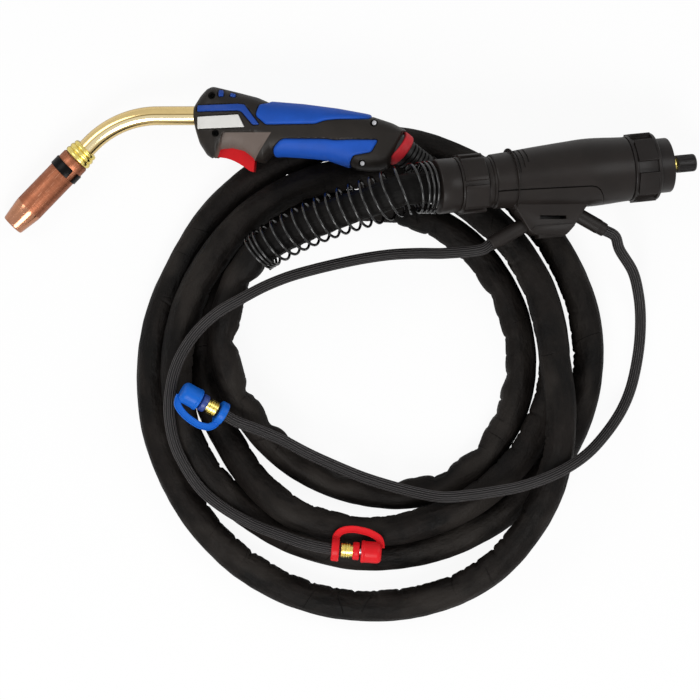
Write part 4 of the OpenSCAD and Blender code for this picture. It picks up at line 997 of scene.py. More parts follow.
TOP_GRIP = rounded(
    ((52.4, 0.3), (61.2, -7.4), (78, -7.1), (101.9, -6.7), (110.2, -3.7), (120.6, -2.7), (139.2, -2.5),
     (146.8, -2.2), (146.4, 9), (140, 40), (63.2, 40), (63, 9.9), (55.2, 8.9)), 2.2
)
HEEL_GRIP = rounded(
    ((66.3, -42), (66.6, -32.5), (67, -27.3), (72.4, -21.1), (75.9, -19.5), (110.2, -19.7), (118.5, -20.7),
     (130.9, -20.1), (154.2, -20.3), (148.4, -30.4), (133.3, -33.1), (130.4, -38.5), (129.2, -44), (128.6, -70),
     (66.3, -70)), 2.4
)
STRIPE = rounded(((3.4, 3.4), (36.5, 4.2), (40.7, 3.5), (50.4, -7.8), (55.8, -7.4), (43.3, 8.7), (37.5, 9.4), (3.4, 8.2)), 1.1)
LABEL = rounded(((3.6, -11.2), (43.6, -9.7), (38.5, 0.8), (3.6, -1.0)), 0.8)
WINDOWS = (
    rounded(((21.2, 15.9), (25.4, 16.1), (25.2, 20.2), (21.0, 20.7)), 0.9),
    rounded(((30.6, 15.9), (35.2, 15.4), (35.6, 17.0), (31.0, 18.4)), 0.9),
)
SCOOP = rounded(((24.5, -13.4), (66.3, -12.8), (50.8, -37), (46, -48), (19.5, -48), (20.5, -31)), 3)
SCREWS = ((15.6, 16.4), (19.2, -14.6), (150.2, -6.4), (140.6, -39.6))


def shell_half(name, upper):
    """One half of the handle's shell with its grooves and its scoop."""
    sizes = bpy.context.scene.torch_sizes
    stations = np.concatenate([np.linspace(0, 4, 9), np.arange(4.6, 169.5, 0.62), np.linspace(170, 174, 9)])
    angles = 90 - 90 * np.cos(np.linspace(0, math.pi, 91)) * (0.35 + 0.65 * np.linspace(-1, 1, 91) ** 2)
    angles = np.linspace(0, 180, 91) * 0.6 + angles * 0.4
    x, a = np.meshgrid(stations, angles, indexing="ij")
    plain = handle_skin(x, a, 0.0)
    y = plain[..., 1]
    outlines = [TOP_GRIP, HEEL_GRIP, STRIPE, *WINDOWS] + ([LABEL] if upper else [])
    lift = np.zeros_like(x)
    for outline in outlines:
        lift -= sizes.groove_depth / MM * step(inside_distance(outline, x, y), -0.9, -0.35)
    scoop = inside_distance(SCOOP, x, y)
    lift -= sizes.scoop_depth / MM * step(scoop, 0, 1.6) * step(x, 68, 44)
    ends = np.minimum(x, HANDLE_LENGTH - x)
    lift -= 0.9 * (1 - step(ends, 0, 1.6)) ** 2
    points = handle_skin(x, a, lift)
    points[..., 1] = np.where(a < 1e-6, plain[..., 1], points[..., 1])
    if not upper:
        points[..., 2] *= -1
    obj = surface_grid(name, points * MM)
    holes = [
        turned(name + "_neck_hole", [(-2, 0), (-2, 7.7), (27, 7.7), (27, 0)], 48),
        move(turned(name + "_outlet_hole", [(-2.6, 0), (-2.6, 14.6), (42, 14.6), (42, 0)], 64), GUN.inverted() @ OUTLET),
        block(name + "_slot", (14.6, -60, -7), (52, -19, 7)),
    ]
    for px, py in SCREWS:
        height = float(handle_skin(np.array([px]), skin_angle(np.array([px]), np.array([py])), 0)[0, 2])
        depth = 4.4 if upper else 6.5
        hole = turned(name + "_screw_hole", [(height - depth, 0), (height - depth, 3.1), (height + 4, 3.1), (height + 4, 0)], 48)
        move(hole, Matrix.Rotation(math.radians(-90 if upper else 90), 4, "Y"))
        holes.append(move(hole, Matrix.Translation((px * MM, py * MM, 0))))
    cut(obj, *holes)
    return move(obj, GUN)


def skin_pad(name, outline, lift, edge, upper, base=-0.7, x_step=0.6, ribs=None):
    """A raised pad that follows the shell's skin inside an outline, with rounded edges, in millimetres."""
    top, bottom = 34.0, -60.0
    low_x, high_x = outline[:, 0].min() + 0.02, outline[:, 0].max() - 0.02
    count = max(8, int((high_x - low_x) / x_step))
    stations = np.linspace(low_x, high_x, count)
    rows = []
    for x in stations:
        cuts = []
        for p, q in zip(outline, np.roll(outline, -1, axis=0)):
            if (p[0] > x) != (q[0] > x):
                cuts.append(p[1] + (x - p[0]) * (q[1] - p[1]) / (q[0] - p[0]))
        edge_top, edge_bottom = (float(v[0]) for v in handle_edges(np.array([x])))
        rows.append((max(min(cuts), edge_bottom - 20, bottom), min(max(cuts), edge_top + 20, top)))
    low, high = (skin_angle(stations, np.array([r[k] for r in rows])) for k in (0, 1))
    steps = max(8, min(48, int(np.max(np.abs(high - low)) / 3.2)))
    share = 0.5 - 0.5 * np.cos(np.linspace(0, math.pi, steps + 1))
    a = low[:, None] + (high - low)[:, None] * share[None]
    x = np.broadcast_to(stations[:, None], a.shape)
    flat = handle_skin(x, a, 0.0)
    depth = inside_distance(outline, x, flat[..., 1])
    rise = np.clip(depth / edge, 0, 1)
    height = base + (lift - base) * np.sqrt(np.clip(1 - (1 - rise) ** 2, 0, 1)) ** 0.8
    if ribs is not None:
        height += ribs(x, flat[..., 1]) * rise
    over, under = handle_skin(x, a, height), handle_skin(x, a, base - 0.25)
    points = np.concatenate([over, under[:, ::-1]], axis=1)
    if not upper:
        points[..., 2] *= -1
    return move(surface_grid(name, points * MM), GUN)


def shell_finish():
    """The shell's charcoal plastic: grained all over, with painted light on the finger scoop, which is coloured a
    lighter brown-grey.
    """
    colour = bpy.context.scene.torch_colours.shell
    s = Shader("handle_plastic_finish")
    point, local = s.place(), s.place(GUN)
    x, y = s.axis(local, 0), s.axis(local, 1)
    cloud, fine = s.noise(point, 38, 4, 0.6), s.noise(point, 900, 2, 0.6)
    scuff = s.noise(s.place(None, (1, 0.16, 0.7)), 420, 3, 0.65).between(0.66, 0.74)
    # Painted light: the finger scoop between these edges is painted lighter, as if it faced the lamps.
    right = 1 - (x - y * 0.64).between(0.0742, 0.0750)
    left = (x - y * 0.396).between(0.0296, 0.0336)
    scoop_painted_light = right * left * (1 - y.between(-0.0146, -0.0134))
    base = s.blend(cloud.between(0.35, 0.7), shade(colour, 0.85), shade(colour, 1.15))
    base = s.blend(scuff * 0.3, base, shade(colour, 1.7))
    # Painted light on the finger scoop.
    base = s.blend(scoop_painted_light * (0.7 + cloud * 0.3), base, (0.175, 0.138, 0.119))
    height = fine + s.noise(point, 3200, 1) * 0.5 - scuff * 0.6
    return s.finish(base, 0.36 + cloud * 0.12, s.bump(height, 0.00004), Specular_IOR_Level=0.18)


class TORCH_OT_shells(bpy.types.Operator):
    """Forms the handle's two shells and finishes the parts inside them"""

    bl_idname = "torch.shells"
    bl_label = "Handle shells"

    def execute(self, context):
        colours = context.scene.torch_colours
        plastic = shell_finish()
        for name, node, upper in (("shell_top_half", "upper_shell", True), ("shell_floor_half", "lower_shell", False)):
            give(shell_half(name, upper), plastic, "handle_plastic", "torch", node, angle=38)
        steel = turned_metal("pin_steel_finish", GUN, colours.steel, 0.3)
        dress(steel, "trigger_pin")
        dress(moulded("switch_finish", colours.nut, 0.4), "micro_switch")
        return {"FINISHED"}


class TORCH_OT_grips(bpy.types.Operator):
    """Forms the soft blue grips, the stripes, the windows and the bare label"""

    bl_idname = "torch.grips"
    bl_label = "Grips and trim"

    def execute(self, context):
        sizes, colours = context.scene.torch_sizes, context.scene.torch_colours
        soft = moulded("grip_blue_finish", colours.grip, 0.5, 0.00003, 0.3, 0.18, worn=1.4)
        satin = moulded("stripe_blue_finish", colours.stripe, 0.42, 0.00002, 0.3, 0.2, worn=1.4)
        plain = moulded("label_finish", colours.label, 0.38, 0.00001, 0.12, 0.3, worn=0.8)
        grip, trim = 0.35 + sizes.grip_lift / MM, 0.35 + sizes.trim_lift / MM
        for side, upper in (("upper", True), ("lower", False)):
            tag = "top_side" if upper else "floor_side"
            give(skin_pad(f"back_grip_{tag}", TOP_GRIP, grip, 2.6, upper), soft, "grip_blue", "torch", f"top_grip_{side}")
            give(skin_pad(f"palm_grip_{tag}", HEEL_GRIP, grip, 2.6, upper), soft, "grip_blue", "torch", f"heel_grip_{side}")
            give(skin_pad(f"stripe_{tag}", STRIPE, trim, 0.7, upper), satin, "stripe_blue", "torch", f"stripe_{side}")
        give(skin_pad("label_plate_face", LABEL, trim, 0.6, True), plain, "label_white", "torch", "label_plate")
        for k, outline in enumerate(WINDOWS):
            piece = skin_pad(f"window_{k + 1}_face", outline, trim, 0.6, True, x_step=0.3)
            give(piece, satin, "stripe_blue", "torch", f"hump_window_{k + 1}")
        return {"FINISHED"}


class TORCH_OT_screws(bpy.types.Operator):
    """Turns the shell's four socket screws"""

    bl_idname = "torch.screws"
    bl_label = "Shell screws"

    def execute(self, context):
        colours = context.scene.torch_colours
        steel = turned_metal("screw_steel_finish", GUN, colours.steel, 0.22, (1800, 1800, 30), 0.3)
        # The two front screws get a near-black finish: painted shade of their deep recesses.
        painted_shade_steel = turned_metal("dark_screw_finish", GUN, colours.black_steel, 0.3, (1800, 1800, 30), 0.3)
        for k, (px, py) in enumerate(SCREWS):
            x = np.array([px])
            sunk = 4.3 if k < 2 else 3.7
            top = float(handle_skin(x, skin_angle(x, np.array([py])), 0)[0, 2]) - sunk
            head = turned(
                f"socket_screw_{k + 1}",
                [(-8, 0), (-8, 1.2), (top, 1.2), (top, 1.9), (top + 1.7, 1.95), (top + 2.0, 1.7), (top + 2.0, 1.2),
                 (top + 1.7, 1.05), (top + 0.4, 1.0), (top + 0.2, 0)],
                48,
            )
            move(head, Matrix.Translation((px * MM, py * MM, 0)) @ Matrix.Rotation(math.radians(-90), 4, "Y"))
            move(head, GUN)
            give(head, painted_shade_steel if k < 2 else steel, "screw_steel", "torch", f"shell_screw_{k + 1}", angle=30)
        return {"FINISHED"}


class TORCH_OT_trigger(bpy.types.Operator):
    """Forms the red trigger"""

    bl_idname = "torch.trigger"
    bl_label = "Trigger"

    def execute(self, context):
        colours = context.scene.torch_colours
        corners = [
            (15.2, -31), (16, -28), (18.6, -26.6), (30, -25), (37, -25), (38, -22.6), (43, -22.6), (44, -25),
            (50.6, -29), (50.4, -38), (49.4, -46.6), (46.5, -45.8), (43.5, -43.6), (40.5, -41.6), (37, -39.4),
            (33.5, -37.6), (30, -36.2), (26.5, -35.2), (23, -34.7), (19.8, -34.4), (16.6, -33.6),
        ]
        blade = plate("trigger_blade", corners, -6.5, 6.5)
        cut(blade, move(turned("trigger_pin_hole", [(-8, 0), (-8, 1.55), (8, 1.55), (8, 0)], 32),
                        Matrix.Translation((18.6 * MM, -31 * MM, 0)) @ Matrix.Rotation(math.radians(-90), 4, "Y")))
        bevelled(blade, 0.0009, 4, 28)
        move(blade, GUN)
        red = moulded("trigger_red_finish", colours.trigger, 0.34, 0.00001, 0.3, 0.2, worn=1.2)
        give(blade, red, "trigger_red", "trigger", "trigger", angle=40)
        turn = np.linspace(0, 2 * math.pi * 5, 121)
        out = np.stack([np.cos(turn), 0 * turn, np.sin(turn)], axis=1)
        rise = np.interp(turn / (2 * math.pi), (0, 1, 4, 5), (-24.75, -24.0, -20.3, -19.55))
        coil = np.stack([25 + 2.1 * out[:, 0], rise, 2.1 * out[:, 2]], axis=1)
        angle = np.arange(10) * math.pi / 5
        ring = np.cos(angle)[None, :, None] * out[:, None] + np.sin(angle)[None, :, None] * np.array((0, 1, 0))
        spring = surface_grid("trigger_return_coil", (coil[:, None] + 0.38 * ring) * MM)
        move(spring, GUN)
        give(spring, turned_metal("coil_steel_finish", GUN, colours.steel, 0.3), "screw_steel", "torch", "trigger_spring", angle=60)
        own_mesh(spring)
        return {"FINISHED"}


class TORCH_OT_outlet(bpy.types.Operator):
    """Turns the red outlet ring and the ribbed boot"""

    bl_idname = "torch.outlet"
    bl_label = "Swivel outlet"

    def execute(self, context):
        colours = context.scene.torch_colours
        ring = turned(
            "outlet_ring_sleeve",
            [(-2.5, 12.1), (-2.5, 13.6), (-2.1, 14.2), (-1.3, 14.5), (4.2, 14.5), (5.2, 14.2), (5.8, 13.5),
             (6, 12.8), (6, 9.2), (0.6, 9.2), (0.6, 12.1), (-2.5, 12.1)],
            112,
        )
        move(ring, OUTLET)
        red = moulded("outlet_red_finish", colours.ring, 0.46, 0.00003, 0.4, 0.2, worn=1.5)
        give(ring, red, "ring_red", "torch", "outlet_ring", angle=40)
        corners = [(0.6, 0), (0.6, 8.9), (6.1, 8.9), (6.1, 11.4), (6.5, 12), (8.8, 12)]
        for k in range(5):
            x = 9 + 3.6 * k
            corners += [(x, 12), (x + 0.25, 11.5), (x + 0.5, 10.3), (x + 1.3, 10.3), (x + 1.6, 11.5), (x + 1.9, 12)]
        corners += [(29.2, 12), (29.8, 11.5), (30, 10.8), (30, 0)]
        boot = turned("bend_boot_ribbed", corners, 96)
        move(boot, OUTLET)
        rubber = rubbery("boot_finish", colours.rubber, 0.42, 0.00003, 0.22)
        give(boot, rubber, "boot_rubber", "torch", "bend_boot", angle=40)
        dress(moulded("ball_finish", colours.nut, 0.3), "outlet_ball")
        return {"FINISHED"}


# ---- Machine connector ----
def lugged(name, corners, band, lugs, share, height, flat, steps_each=12):
    """A turned ring with raised lugs: band faces are extruded outwards and then cut flat."""
    ring = turned(name, corners, lugs * steps_each)
    low, high, radius = band
    half = 180 / lugs * share
    edit(ring)

    def on_lug(centre, normal):
        angle = math.degrees(math.atan2(centre.y, centre.z)) % 360
        off = abs((angle - 180 / lugs) % (360 / lugs))
        off = min(off, 360 / lugs - off)
        across = math.hypot(centre.y, centre.z)
        return low < centre.x < high and across > radius - 0.6 and off < half

    pick(ring, on_lug)
    bpy.ops.mesh.extrude_region_move()
    scale = (radius + height) / radius
    bpy.ops.transform.resize(value=(1, scale, scale), center_override=(0, 0, 0))
    for k in range(lugs):
        angle = math.radians(360 * (k + 0.5) / lugs)
        out = Vector((0, math.sin(angle), math.cos(angle)))
        bpy.ops.mesh.select_all(action="SELECT")
        bpy.ops.mesh.bisect(plane_co=out * flat * MM, plane_no=out, use_fill=True, clear_outer=True)
    bpy.ops.mesh.select_all(action="SELECT")
    bpy.ops.mesh.remove_doubles(threshold=0.00002)
    bpy.ops.mesh.normals_make_consistent(inside=False)
    bpy.ops.object.mode_set(mode="OBJECT")
    return ring


class TORCH_OT_connector_rear(bpy.types.Operator):
    """Turns the connector's spring ferrule, its sleeve and the rear ring nut"""

    bl_idname = "torch.connector_rear"
    bl_label = "Connector rear"

    def execute(self, context):
        sizes = context.scene.torch_sizes
        plastic = plug_finish()
        ferrule = turned(
            "spring_ferrule_ring",
            [(0.4, 0), (0.4, 21.4), (0.8, 22.1), (1.6, 22.5), (16.6, 22.5), (17.2, 22.2), (17.4, 21.6), (17.4, 0)], 128
        )
        move(ferrule, PLUG)
        give(ferrule, plastic, "plug_plastic", "torch", "spring_ferrule")
        sleeve = turned(
            "rear_sleeve_collar",
            [(17.4, 0), (17.4, 17), (41.0, 17), (41.0, 20.2), (41.4, 20.8), (42.2, 21), (44.6, 21), (45.0, 20.4),
             (45.5, 20.4), (45.9, 21), (47.7, 21), (47.7, 0)],
            128,
        )
        move(sleeve, PLUG)
        give(sleeve, plastic, "plug_plastic", "torch", "rear_sleeve")
        nut = lugged(
            "ring_nut_lugged",
            [(17.7, 17.05), (17.7, 22.2), (18.2, 22.8), (19.4, 23), (39.2, 23), (40.2, 22.8), (40.7, 22.2),
             (40.7, 17.05), (17.7, 17.05)],
            (19.2, 39.4, 23), 6, 0.78, 2.6, 24.4,
        )
        bevelled(nut, sizes.lug_bevel, 3, 30)
        move(nut, PLUG)
        give(nut, plastic, "plug_plastic", "ring_nut", "ring_nut", angle=30)
        return {"FINISHED"}


def plug_finish():
    """The connector's black-brown plastic, made once."""
    made = bpy.data.materials.get("plug_plastic_finish")
    return made or moulded("plug_plastic_finish", bpy.context.scene.torch_colours.plug, 0.36, 0.00003, 0.5, 0.18)


BARREL = (
    (0, 0), (0, 21.0), (0.3, 21.8), (1.1, 22.4), (10, 22.9), (18, 23.4), (35, 24.9), (50, 26), (66, 27.1), (82, 28),
    (96, 27.6), (108, 26.8), (115.8, 26.4), (116.8, 26.2), (117.2, 25.5), (117.2, 0),
)
PART_LINE = (
    (-2, -8), (14, -8.2), (79, -11), (83, -12.2), (86.2, -14.6), (88.6, -18.2), (90.6, -22.5), (92, -27), (92.6, -40)
)
POD = ((12, -12), (15.8, -22.6), (26.1, -42.9), (30.6, -46.9), (57.5, -49.4), (66.5, -40.6), (81.9, -21.4), (86, -14), (82, -12))
HOUSING = PLUG @ Matrix.Translation((0.0477, 0, 0))


def smooth_profile(corners, count):
    """More points on a turned profile's long middle, between its first and last three corners."""
    middle = np.array(corners[3:-3], float)
    t = np.linspace(0, len(middle) - 1, count)
    return list(corners[:3]) + [tuple(p) for p in smooth_at(middle, t)] + list(corners[-3:])


def cover_side(shift):
    return plate("parting_block", [(x, y - shift) for x, y in PART_LINE] + [(92.6, -70), (-2, -70)], -40, 40)


class TORCH_OT_housing(bpy.types.Operator):
    """Forms the connector's housing, its cover with the hose pod, and the two strain reliefs"""

    bl_idname = "torch.housing"
    bl_label = "Connector housing"

    def execute(self, context):
        colours = context.scene.torch_colours
        plastic = plug_finish()
        corners = smooth_profile(BARREL, 26)
        housing = turned("housing_barrel", corners, 144)
        cuts = [cover_side(0.0)]
        cuts.append(turned("block_seat", [(109, 0), (109, 17.1), (122, 17.1), (122, 0)], 64))
        for k in range(3):
            x, r = 19 + 4 * k, 22.8 + 0.3 * k
            groove = turned("grip_groove", [(x, r), (x, 30), (x + 1.6, 30), (x + 1.6, r), (x, r)], 144)
            cut(groove, block("back_side", (0, 5 + 4 * k, -40), (60, 40, 40)), operation="INTERSECT")
            cuts.append(groove)
        cuts.append(turned("neck_line", [(16.7, 22.9), (16.7, 26), (17.4, 26), (17.4, 22.9), (16.7, 22.9)], 144))
        cut(housing, *cuts)
        bevelled(housing, 0.0003, 2, 40)
        move(housing, HOUSING)
        give(housing, plastic, "plug_plastic", "torch", "plug_housing", angle=30)
        cover = turned("hose_cover", corners, 144)
        cut(cover, cover_side(1.15), operation="INTERSECT")
        core = turned("cover_core", [(1, 0), (1, 20)] + [(x, r - 2.2) for x, r in BARREL[4:-3]] + [(108, 24), (108, 0)], 96)
        cut(core, cover_side(0.06), operation="INTERSECT")
        cut(cover, core, operation="UNION")
        pod = plate("hose_pod", [tuple(p) for p in rounded(POD, 2.0, 4)], -11, 11)
        bevelled(pod, 0.0011, 3, 60)
        cut(cover, pod, operation="UNION")
        panel_at = ((27.0, -42.5), (30.9, -39.6), (63.5, -40.2), (65.4, -42.0), (58.9, -47.8), (32.3, -46.2))
        for z in (10.0, -11.7):
            panel = plate("pod_panel", [tuple(p) for p in rounded(panel_at, 0.9, 3)], z, z + 1.7)
            bevelled(panel, 0.0007, 2, 50)
            cut(cover, panel, operation="UNION")
        bar = block("pod_bar", (34.8, -50.3, -6), (58.2, -46, 6))
        bevelled(bar, 0.0005, 2)
        cut(cover, bar, operation="UNION")
        slot = plate("pod_slot", [(36.2, -31.4), (36.2, -34.4), (58.5, -36.5), (58.5, -33.5)], -6, 13)
        seat = turned("block_seat", [(109, 0), (109, 17.1), (122, 17.1), (122, 0)], 64)
        cut(cover, slot, seat)
        for relief in (LEFT_RELIEF, RIGHT_RELIEF):
            bore = turned("relief_bore", [(-12, 0), (-12, 6.3), (12, 6.3), (12, 0)], 48)
            cut(cover, move(bore, HOUSING.inverted() @ relief))
        bevelled(cover, 0.00022, 2, 45)
        move(cover, HOUSING)
        give(cover, plastic, "plug_plastic", "torch", "plug_cover", angle=30)
        rubber = rubbery("relief_finish", shade(colours.plug, 0.9), 0.45, 0.00004, 0.2)
        for name, node, relief, free in (
            ("strain_relief_left", "relief_left", LEFT_RELIEF, 30), ("strain_relief_right", "relief_right", RIGHT_RELIEF, 21)
        ):
            piece = turned(
                name,
                [(-11.8, 0), (-11.8, 6.2), (free - 7, 6.2), (free - 6.2, 6.1), (free - 5.6, 5.85), (free - 1.6, 5.75),
                 (free - 0.6, 5.6), (free - 0.1, 5.1), (free, 4.6), (free, 0)],
                72,
            )
            move(piece, relief)
            give(piece, rubber, "boot_rubber", "torch", node, angle=50)
        return {"FINISHED"}


class TORCH_OT_connector_front(bpy.types.Operator):
    """Turns the lugged front nut, the brass block, the inlet stem and its fluted cap"""

    bl_idname = "torch.connector_front"
    bl_label = "Connector front"

    def execute(self, context):
        sizes, colours = context.scene.torch_sizes, context.scene.torch_colours
        black = moulded("nut_black_finish", colours.nut, 0.36, 0.00002, 0.5, 0.2)
        nut = lugged(
            "front_nut_lugged",
            [
                (165.2, 17.1), (165.2, 26.4), (165.5, 26.9), (166.4, 27.1), (167.8, 27.1), (168.2, 26.6), (168.2, 26.2),
                (184.8, 26.2), (184.8, 27.2), (185.2, 27.9), (186.8, 27.9), (187.8, 27.4), (188.2, 26.6),
                (188.2, 22.9), (188.8, 22.5), (199.9, 22.5), (200.7, 22.2), (201, 21.6), (201, 19.5), (176.1, 19.5),
                (176.1, 17.1), (165.2, 17.1),
            ],
            (168.3, 184.7, 26.2), 6, 0.62, 3.6, 28.2,
        )
        bevelled(nut, sizes.lug_bevel, 3, 30)
        move(nut, PLUG)
        give(nut, black, "black_plastic", "front_nut", "front_nut", angle=30)
        brass = turned_metal("block_brass_finish", PLUG, colours.brass, 0.24)
        dress(brass, "plug_block")
        dress(turned_metal("pin_gold_finish", PLUG, colours.bright_brass, 0.2), "contact_pin_1", "contact_pin_2")
        dress(rubbery("seal_finish", colours.rubber, 0.4), "stem_seal")
        stem = turned(
            "inlet_stem_barbed",
            [(184.6, 0), (184.6, 5), (199.9, 5), (200.1, 4.2), (201.9, 4.2), (202.1, 5), (203.2, 5), (217.9, 5),
             (218.5, 4.4), (218.5, 1.5), (200, 1.5), (200, 0)],
            72,
        )
        bevelled(stem, 0.00015, 2)
        move(stem, PLUG)
        give(stem, turned_metal("stem_brass_finish", PLUG, colours.bright_brass, 0.18), "block_brass", "torch",
             "inlet_stem", angle=30)
        cap = turned(
            "stem_cap_fluted",
            [(207.5, 5.1), (207.5, 6.6), (207.8, 7.1), (208.6, 7.25), (209.6, 7.25), (222.2, 7.25), (223.4, 7.0),
             (224.1, 6.4), (224.5, 5.4), (224.5, 0), (219, 0), (219, 5.05), (207.5, 5.1)],
            144,
        )
        edit(cap)
        pick(cap, lambda c, n: 209.7 < c.x < 222 and math.hypot(c.y, c.z) > 7
             and (math.degrees(math.atan2(c.y, c.z)) % 20) < 10)
        bpy.ops.mesh.extrude_region_move()
        bpy.ops.transform.resize(value=(1, 0.93, 0.93), center_override=(0, 0, 0))
        bpy.ops.object.mode_set(mode="OBJECT")
        bevelled(cap, 0.00012, 1)
        move(cap, PLUG)
        give(cap, moulded("cap_black_finish", shade(colours.nut, 0.5), 0.3, 0.00001, 0.5, 0.25), "black_plastic", "stem_cap", "stem_cap",
             angle=30)
        return {"FINISHED"}


# ---- Couplings of the water hoses ----
STRAP = ((3.2, 7.4), (3.4, 11), (7.2, 15.4), (15.5, 17.6), (26, 16.8), (33, 14.8), (38.2, 11.8), (40.2, 7.6), (40.6, 4))


def strap_band(name):
    """A moulded strap with raised rims: its ring round the hose and the band that leads to the cap."""
    ring = turned(name, [(0, 4.9), (0, 8.9), (0.5, 9.6), (1.2, 9.75), (5.2, 9.75), (5.9, 9.6), (6.4, 8.9), (6.4, 4.9),
                         (0, 4.9)], 72)
    line = smooth_at(STRAP, np.linspace(0, len(STRAP) - 1, 65))
    direction = np.gradient(line, axis=0)
    direction /= np.linalg.norm(direction, axis=1)[:, None]
    normal = np.stack([-direction[:, 1], direction[:, 0]], axis=1)
    section = np.array([
        (-3, -0.9), (-2.6, -1.4), (2.6, -1.4), (3, -0.9), (3, 0.9), (2.7, 1.4), (2.2, 1.4), (1.8, 0.75),
        (-1.8, 0.75), (-2.2, 1.4), (-2.7, 1.4), (-3, 0.9),
    ])
    points = np.zeros((len(line), len(section), 3))
    points[..., :2] = line[:, None] + normal[:, None] * section[None, :, :1]
    points[..., 2] = section[None, :, 1]
    band = surface_grid(name + "_band", points * MM)
    return cut(ring, band, operation="UNION")


class TORCH_OT_couplings(bpy.types.Operator):
    """Turns the water hoses' ferrules, collars, nipples and caps, and moulds the caps' straps"""

    bl_idname = "torch.couplings"
    bl_label = "Water couplings"

    def execute(self, context):
        colours = context.scene.torch_colours
        red = moulded("red_cap_finish", colours.red_cap, 0.36, 0.00001, 0.25, 0.18, worn=1.2)
        blue = moulded("blue_cap_finish", colours.blue_cap, 0.36, 0.00001, 0.25, 0.18, worn=1.4)
        navy = moulded("navy_collar_finish", colours.navy, 0.36, 0.00001, 0.25, 0.45, worn=1.6)
        for colour, end, cap_finish, collar_finish, cap_slot, collar_slot in (
            ("red", RED_END, red, red, "cap_red", "cap_red"), ("blue", BLUE_END, blue, navy, "cap_blue", "collar_navy"),
        ):
            brass = turned_metal(f"{colour}_ferrule_finish", end, colours.bright_brass, 0.2, (900, 60, 60))
            steel = turned_metal(f"{colour}_nipple_finish", end, colours.steel, 0.14)
            corners = [(7.8, 0), (7.8, 5.6), (8.1, 6.0), (8.6, 6.2)]
            for k in range(3):
                x = 9.2 + 2.1 * k
                corners += [(x, 6.2), (x + 0.3, 5.7), (x + 0.7, 5.7), (x + 1.0, 6.2)]
            corners += [(15.2, 6.2), (15.4, 5.6), (15.4, 5.2), (17.6, 5.2), (17.6, 0)]
            ferrule = turned(f"{colour}_crimp_ferrule", corners, 48)
            edit(ferrule)
            pick(ferrule, lambda c, n: 8.6 < c.x < 15.2 and math.hypot(c.y, c.z) > 5.5
                 and (math.degrees(math.atan2(c.y, c.z)) % 45) < 8)
            bpy.ops.mesh.extrude_region_move()
            bpy.ops.transform.resize(value=(1, 0.94, 0.94), center_override=(0, 0, 0))
            bpy.ops.object.mode_set(mode="OBJECT")
            move(ferrule, end)
            give(ferrule, brass, "ferrule_brass", "torch", f"{colour}_ferrule", angle=30)
            collar = turned(
                f"{colour}_coupling_collar",
                [(17.6, 2.9), (17.6, 6.4), (17.8, 6.9), (18.3, 7.25), (19.0, 7.4), (21.8, 7.4), (22.5, 7.25),
                 (23.0, 6.9), (23.2, 6.4), (23.2, 2.9), (17.6, 2.9)],
                72,
            )
            move(collar, end)
            give(collar, collar_finish, collar_slot, "torch", f"{colour}_collar", angle=50)
            nipple = turned(
                f"{colour}_coupling_nipple",
                [(8.9, 0), (8.9, 2.88), (23.2, 2.88), (23.4, 2.7), (23.9, 2.7), (24.1, 2.88), (35.4, 2.88),
                 (36.1, 2.6), (36.4, 2.0), (36.4, 1.3), (30, 1.3), (30, 0)],
                48,
            )
            move(nipple, end)
            give(nipple, steel, "nipple_steel", "torch", f"{colour}_nipple", angle=30)
            cap = turned(
                f"{colour}_dust_cap",
                [(24.4, 2.95), (24.4, 8.2), (24.6, 8.8), (25.2, 9.2), (25.9, 9.25), (27.0, 9.25), (27.3, 8.95),
                 (27.9, 8.9), (37.4, 8.9), (38.9, 8.6), (40.3, 7.8), (41.2, 6.6), (41.4, 5.4), (41.4, 0), (37, 0),
                 (37, 2.95), (24.4, 2.95)],
                96,
            )
            move(cap, end)
            give(cap, cap_finish, cap_slot, f"{colour}_cap", f"{colour}_cap", angle=50)
            strap = strap_band(f"{colour}_cap_strap")
            bevelled(strap, 0.00015, 2, 40)
            move(strap, end)
            bend = ("torch", f"{colour}_cap", end @ Vector((0.012, 0.0165, 0)), end @ Vector((0.033, 0.0148, 0)))
            give(strap, cap_finish, cap_slot, bend, f"{colour}_strap", angle=35)
        return {"FINISHED"}


